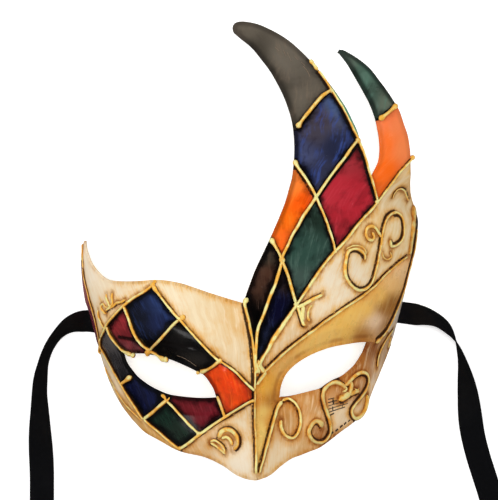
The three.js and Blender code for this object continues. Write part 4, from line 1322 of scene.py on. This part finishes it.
# The painted face: enamel panels, ivory with a brown glaze, and thin gilding, all under one varnish. A ramp
# holds what comes in, from and to, and then, where it isn't 0 and 1, what goes out. Distances are in mm.
paintwork = {
    "ragged": (0.9, 3.0, 0.6),
    "wander": (0.13, 3.0, 0.6),
    "bristles": (0.44, 0.58),
    "strokes": (0.44, 0.64),
    "bristlesInStrokes": (0.8, 0.15),  # a factor, and a sum
    "hollows": (0.5, 0.4, 0.45, 1.0),
    "hollowDabs": (0.54, 0.36),
    "hollowTint": (0.4, 0.36, 0.38, 1),
    "wanderReach": -7.0,       # how far noise moves a glaze's edge
    "raggedReach": -2.0,
    "openEdge": 0.4,           # the glaze stays this much farther from a cut edge
    "glaze": tint(246, 208, 136),
    "glazeReach": (4.6, -0.6),
    "glazeShare": 0.6,
    "glazeStreaks": (0.4, 0.2),  # a factor, and a sum
    "glazeDabs": (0.48, 0.7, 0.0, 0.2),
    "deepGlaze": tint(176, 134, 84),
    "deepReach": (1.9, 0.1),
    "deepPatches": (0.34, 0.58, 0.225, 0.9),
    "foldAt": 2.7,             # where old gilding is rubbed brown beside the cut edge
    "foldWidth": (1.7, 0.1),
    "foldPatches": (0.36, 0.58, 1.0, 5.0),
    "blotchMix": (2.4, 0.2),
    "blotches": (1.46, 1.9, 0.0, 2.0),
    # painted shade in the panels, near their lines and their cut edges
    "paintedShade": tint(78, 72, 78),
    "paintedShadeReach": (3.0, -0.4),
    "paintedShadeWide": -1.8,      # for each 1 of border above 1
    "paintedShadeEdge": (2.6, 0.9, 0.0, 0.9),
    "black": tint(10, 6, 5),
    "blackRagged": (-1.6, 0.8),  # a factor, and a sum
    "blackReach": (0.8, 0.3),
    # painted shade along the lid's crease
    "crease": (1.7, 0.4, 0.0, 0.9),
    "brownBlack": tint(44, 24, 9),
    "darkRagged": (-0.9, 0.4),  # a factor, and a sum
    "darkReach": (0.1, -0.25, 0.0, 0.94),
    "relief": (0.6, 2.0),      # of the bristles, and of the wander
    "bump": (0.2, 0.4),
    "roughWander": 0.3,
    "dulled": -0.8,            # how the glaze takes the metal's shine
    "specular": 0.2,
    "coat": 0.35,
    "coatRoughness": 0.12,
}


def makePaintwork():
    material, tree, shader = newMaterial("paintedGesso")
    p = paintwork
    finish = addNode(tree, "SeparateColor", {}, attribute(tree, "finish", "Color"))
    border, patina, brushed = (Field(finish, k) for k in range(3))
    metal = attribute(tree, "paint", "Alpha")
    lineGap, darkGap = attribute(tree, "lineGap"), attribute(tree, "darkGap")
    edgeGap, creaseGap = attribute(tree, "edgeGap"), attribute(tree, "creaseGap")
    place = attribute(tree, "sheet", "Vector")
    ragged = place.noise(*p["ragged"])
    wander = place.noise(*p["wander"])
    marks = addNode(tree, "Group", {"node_tree": brushMarks}, attribute(tree, "grain", "Vector"))
    strokes, bristles, dabs = (Field(marks, k) for k in range(3))

    def scaled(field, name):
        return field * p[name][0] + p[name][1]

    fine = bristles.ramp(*p["bristles"])
    light = strokes.ramp(*p["strokes"]) * scaled(fine, "bristlesInStrokes") * brushed
    colour = light.mix(attribute(tree, "paint", "Color"), attribute(tree, "stroke", "Color"))
    shade = dabs.ramp(*p["hollowDabs"]) * bristles.ramp(*p["hollows"]) * brushed * border
    colour = shade.mix(colour, p["hollowTint"], "MULTIPLY")

    bounds = lineGap.least(edgeGap + p["openEdge"])
    wavering = (wander - 0.5) * p["wanderReach"]
    near = (wavering + bounds).ramp(*p["glazeReach"])
    stain = near * p["glazeShare"] + fine * scaled(near, "glazeStreaks") + dabs.ramp(*p["glazeDabs"])
    stain = (stain * patina).clamped()
    colour = stain.mix(colour, p["glaze"], "MULTIPLY")
    deep = ((ragged - 0.5) * p["raggedReach"] + bounds).ramp(*p["deepReach"])
    deep = deep * wander.ramp(*p["deepPatches"]) * patina
    colour = deep.mix(colour, p["deepGlaze"], "MULTIPLY")
    fold = (edgeGap - p["foldAt"]).math("ABSOLUTE").ramp(*p["foldWidth"]) * wander.ramp(*p["foldPatches"])
    blotch = (wander * p["blotchMix"][0] + ragged * p["blotchMix"][1]).ramp(*p["blotches"])
    colour = (metal * fold.most(blotch)).mix(colour, p["deepGlaze"], "MULTIPLY")

    # Painted shade: each panel darker towards its lines and its cut edges, reaching farther where the border
    # is above 1
    whole = border.least(1.0)
    shadow = (wavering + (border - 1.0).most(0.0) * p["paintedShadeWide"] + bounds).ramp(*p["paintedShadeReach"])
    shadow = shadow.most(edgeGap.ramp(*p["paintedShadeEdge"])) * whole
    colour = shadow.mix(colour, p["paintedShade"], "MULTIPLY")
    rimmed = (lineGap + scaled(ragged, "blackRagged")).ramp(*p["blackReach"]) * border
    colour = rimmed.mix(colour, p["black"])
    # Painted shade: black along the left upper lid's crease, where the face turns into the socket
    colour = creaseGap.ramp(*p["crease"]).mix(colour, p["black"])
    drawn = (darkGap + scaled(ragged, "darkRagged")).ramp(*p["darkReach"])
    colour = drawn.mix(colour, whole.mix(p["brownBlack"], p["black"]))

    relief = bristles * p["relief"][0] + wander * p["relief"][1]
    rough = (wander - 0.5) * p["roughWander"] + attribute(tree, "finish", "Alpha")
    setInputs(shader, {"Base Color": colour, "Roughness": rough.clamped(), "Normal": relief.bump(*p["bump"]),
                       "Metallic": metal * (stain * p["dulled"] + 1.0), "Specular IOR Level": p["specular"],
                       "Coat Weight": p["coat"], "Coat Roughness": p["coatRoughness"]})
    return material


# The raw back: layered paper and paste, sealed with a thin size
paper = {
    "sheets": {"Scale": 0.055, "Randomness": 0.9},
    "fibre": ((0.5, 1.6, 1), 5.0, 0.65),
    "mottle": (0.12, 3.0),
    "mottled": (0.35, 0.7),
    "gray": tint(196, 184, 160),
    "tan": tint(168, 150, 122),
    "sheetShare": 0.16,
    "pale": tint(214, 206, 188),
    "fibres": (0.55, 0.75, 0, 0.3),
    "brown": tint(122, 100, 72),
    "sheetRelief": 0.3,
    "bump": (0.5, 0.5),
    "roughness": (0.3, 0.7, 0.62, 0.85),
}


def makePaperBack():
    material, tree, shader = newMaterial("paperBack")
    place = attribute(tree, "sheet", "Vector")
    torn = addNode(tree, "TexVoronoi", {"feature": "F1"}, Vector=place, **paper["sheets"])
    fibre = place.streaked(*paper["fibre"])
    colour = place.noise(*paper["mottle"]).ramp(*paper["mottled"]).mix(paper["gray"], paper["tan"])
    colour = (Field(torn, "Color") * paper["sheetShare"]).mix(colour, paper["pale"])
    colour = fibre.ramp(*paper["fibres"]).mix(colour, paper["brown"])
    relief = Field(torn, "Distance") * paper["sheetRelief"] + fibre
    setInputs(shader, {"Base Color": colour, "Roughness": fibre.ramp(*paper["roughness"]),
                       "Normal": relief.bump(*paper["bump"])})
    return material


# Gesso lines in gold paint, with a painted highlight and glints on the crown, browner in the hollows beside
# them
goldPaint = {
    "ragged": (420.0, 3.0, 0.6),
    "broad": (90.0, 3.0, 0.6),
    "paintedGlint": (190.0, 2.0, 0.5),
    "raggedRise": 0.7,
    "paintedGlintRise": 3.2,
    "mid": tint(255, 190, 74),
    "paintedHighlight": tint(255, 246, 164),
    "paintedHighlightFrom": (0.4, 1.25),
    "brown": tint(174, 103, 33),
    "brownFrom": (0.55, 0.1),
    "dark": tint(70, 38, 12),
    "darkFrom": (0.22, -0.12),
    "worn": tint(196, 140, 74),
    "wornPatches": (0.4, 0.65, 0.3, 1.0),
    "bump": (0.5, 0.3),
    "metal": (0.1, 0.6, 0.02, 0.1),
    "roughness": (0.3, 0.7, 0.26, 0.4),
    "coat": 0.4,
    "coatRoughness": 0.12,
}


def makeGoldPaint():
    material, tree, shader = newMaterial("goldPaint")
    g = goldPaint
    place = Field(addNode(tree, "TexCoord", {}), "Object")
    ragged = place.noise(*g["ragged"])
    high = attribute(tree, "crown") + (ragged - 0.5) * g["raggedRise"]
    # Painted highlight: the top of the crown, with glints along the line, is painted pale; lower down it
    # turns brown
    paintedShine = high + (place.noise(*g["paintedGlint"]) - 0.5) * g["paintedGlintRise"]
    colour = paintedShine.ramp(*g["paintedHighlightFrom"]).mix(g["mid"], g["paintedHighlight"])
    for name in ("brown", "dark"):
        colour = high.ramp(*g[name + "From"]).mix(colour, g[name])
    worn = place.noise(*g["broad"]).ramp(*g["wornPatches"]) * attribute(tree, "aged")
    colour = worn.mix(colour, g["worn"], "MULTIPLY")
    setInputs(shader, {"Base Color": colour, "Metallic": high.ramp(*g["metal"]),
                       "Roughness": ragged.ramp(*g["roughness"]), "Normal": ragged.bump(*g["bump"]),
                       "Coat Weight": g["coat"], "Coat Roughness": g["coatRoughness"]})
    return material


# Old ink, and scratches and a painted highlight, each between a strong and a weak colour
inks = {
    "oldInk": (tint(30, 22, 18), tint(98, 76, 54)),
    "scratchAndHighlight": (tint(112, 98, 84), tint(140, 116, 92)),
}
inkFinish = {"fade": (900.0, 2.0), "roughness": 0.5}


def makeInk(name):
    material, tree, shader = newMaterial(name)
    faded = Field(addNode(tree, "TexCoord", {}), "Object").noise(*inkFinish["fade"])
    setInputs(shader, {"Base Color": faded.mix(*inks[name]), "Roughness": inkFinish["roughness"]})
    return material


satin = {
    "weave": [("Y", 1.1, 0.4, 0.6), ("X", 0.8, 0.3, 0.4)],  # along, scale, distortion and share
    "fuzz": (0.6, 3.0),
    "colours": (tint(5, 5, 7), tint(16, 16, 18)),
    "roughness": (0, 1, 0.45, 0.65),
    "bump": (0.35, 0.2),
    "specular": 0.2,
}


def makeSatin():
    material, tree, shader = newMaterial("blackSatin")
    strip = attribute(tree, "strip", "Vector")
    threads = []
    for axis, scale, bent, share in satin["weave"]:
        wave = addNode(tree, "TexWave", {"bands_direction": axis}, Vector=strip, Scale=scale, Distortion=bent)
        threads.append(Field(wave, "Fac") * share)
    weave = threads[0] + threads[1]
    setInputs(shader, {"Base Color": strip.noise(*satin["fuzz"]).mix(*satin["colours"]),
                       "Roughness": weave.ramp(*satin["roughness"]), "Normal": weave.bump(*satin["bump"]),
                       "Specular IOR Level": satin["specular"]})
    return material


def dress(obj, *materials, slots=None):
    obj.data.materials.clear()
    for material in materials:
        obj.data.materials.append(material)
    if slots is not None:
        obj.data.polygons.foreach_set("material_index", slots.astype(np.int32))


dress(shellPiece, makePaintwork(), makePaperBack(), slots=shellSlots)
dress(goldPiece, makeGoldPaint())
dress(inkPiece, *map(makeInk, inks), slots=inkSlots)
ribbonSatin = makeSatin()
for piece in ribbons:
    dress(piece, ribbonSatin)
print("surfaces painted")

# A plain pale floor and soft studio light
studio = {
    "floor": 3.0,
    "floorColour": tint(246, 246, 246),
    "floorRoughness": 0.9,
    "floorSpecular": 0.1,
    "glow": (0.5, 1.6, 0.45, 1.0),  # the floor's own light, from near the mask to far away in metres
    "sky": (0.4, 0.85, 0.3, 0.1),  # from the horizon to the zenith, by the height of what is looked at
    "skyLow": (-0.05, 0.2, 0.06, 1.0),
    "sheen": 0.4,              # how much of the sky the varnish shows
    "lamps": [
        {"name": "softLeft", "at": (-1.0, 0.7, 1.3), "size": 0.8, "power": 11},
        {"name": "softRight", "at": (1.1, 0.1, 1.2), "size": 0.8, "power": 5},
        {"name": "overhead", "at": (0.05, 0.05, 1.6), "size": 0.5, "power": 12},
        {"name": "sheenLeft", "at": (-1.15, -0.36, 1.05), "size": 0.3, "power": 0.8, "seen": True},
    ],
}


def makeFloor():
    size = studio["floor"]
    mesh = bpy.data.meshes.new("floor")
    corners = [(x * size, y * size, 0) for x, y in ((-1, -1), (1, -1), (1, 1), (-1, 1))]
    mesh.from_pydata(corners, [], [(0, 1, 2, 3)])
    floor = bpy.data.objects.new("floor", mesh)
    bpy.context.collection.objects.link(floor)
    material, tree, shader = newMaterial("paleFloor")
    place = Field(addNode(tree, "TexCoord", {}), "Object")
    away = Field(addNode(tree, "VectorMath", {"operation": "LENGTH"}, place), "Value")
    setInputs(shader, {"Base Color": studio["floorColour"], "Roughness": studio["floorRoughness"],
                       "Specular IOR Level": studio["floorSpecular"], "Emission Color": (1, 1, 1, 1),
                       "Emission Strength": away.ramp(*studio["glow"])})
    dress(floor, material)
    floor.visible_glossy = False


def makeSky():
    world = bpy.data.worlds.new("studio")
    world.use_nodes = True
    sky = world.node_tree
    height = Field(addNode(sky, "SeparateXYZ", {}, Field(addNode(sky, "TexCoord", {}), "Generated")), "Z")
    rays = addNode(sky, "LightPath", {})
    strength = height.ramp(*studio["sky"]).least(height.ramp(*studio["skyLow"]))
    strength = strength * Field(rays, "Is Glossy Ray").ramp(0.0, 1.0, 1.0, studio["sheen"])
    strength = strength.most(Field(rays, "Is Camera Ray"))
    setInputs(sky.nodes["Background"], {"Color": (1, 1, 1, 1), "Strength": strength})
    bpy.context.scene.world = world


def makeLamps():
    for lamp in studio["lamps"]:
        data = bpy.data.lights.new(lamp["name"], "AREA")
        data.size = lamp["size"]
        data.energy = lamp["power"]
        obj = bpy.data.objects.new(lamp["name"], data)
        obj.location = lamp["at"]
        obj.rotation_euler = (-Vector(lamp["at"])).to_track_quat("-Z", "Y").to_euler()
        obj.visible_glossy = lamp.get("seen", False)
        bpy.context.collection.objects.link(obj)


makeFloor()
makeSky()
makeLamps()
bpy.context.scene.view_settings.view_transform = "Standard"
print("studio lit")
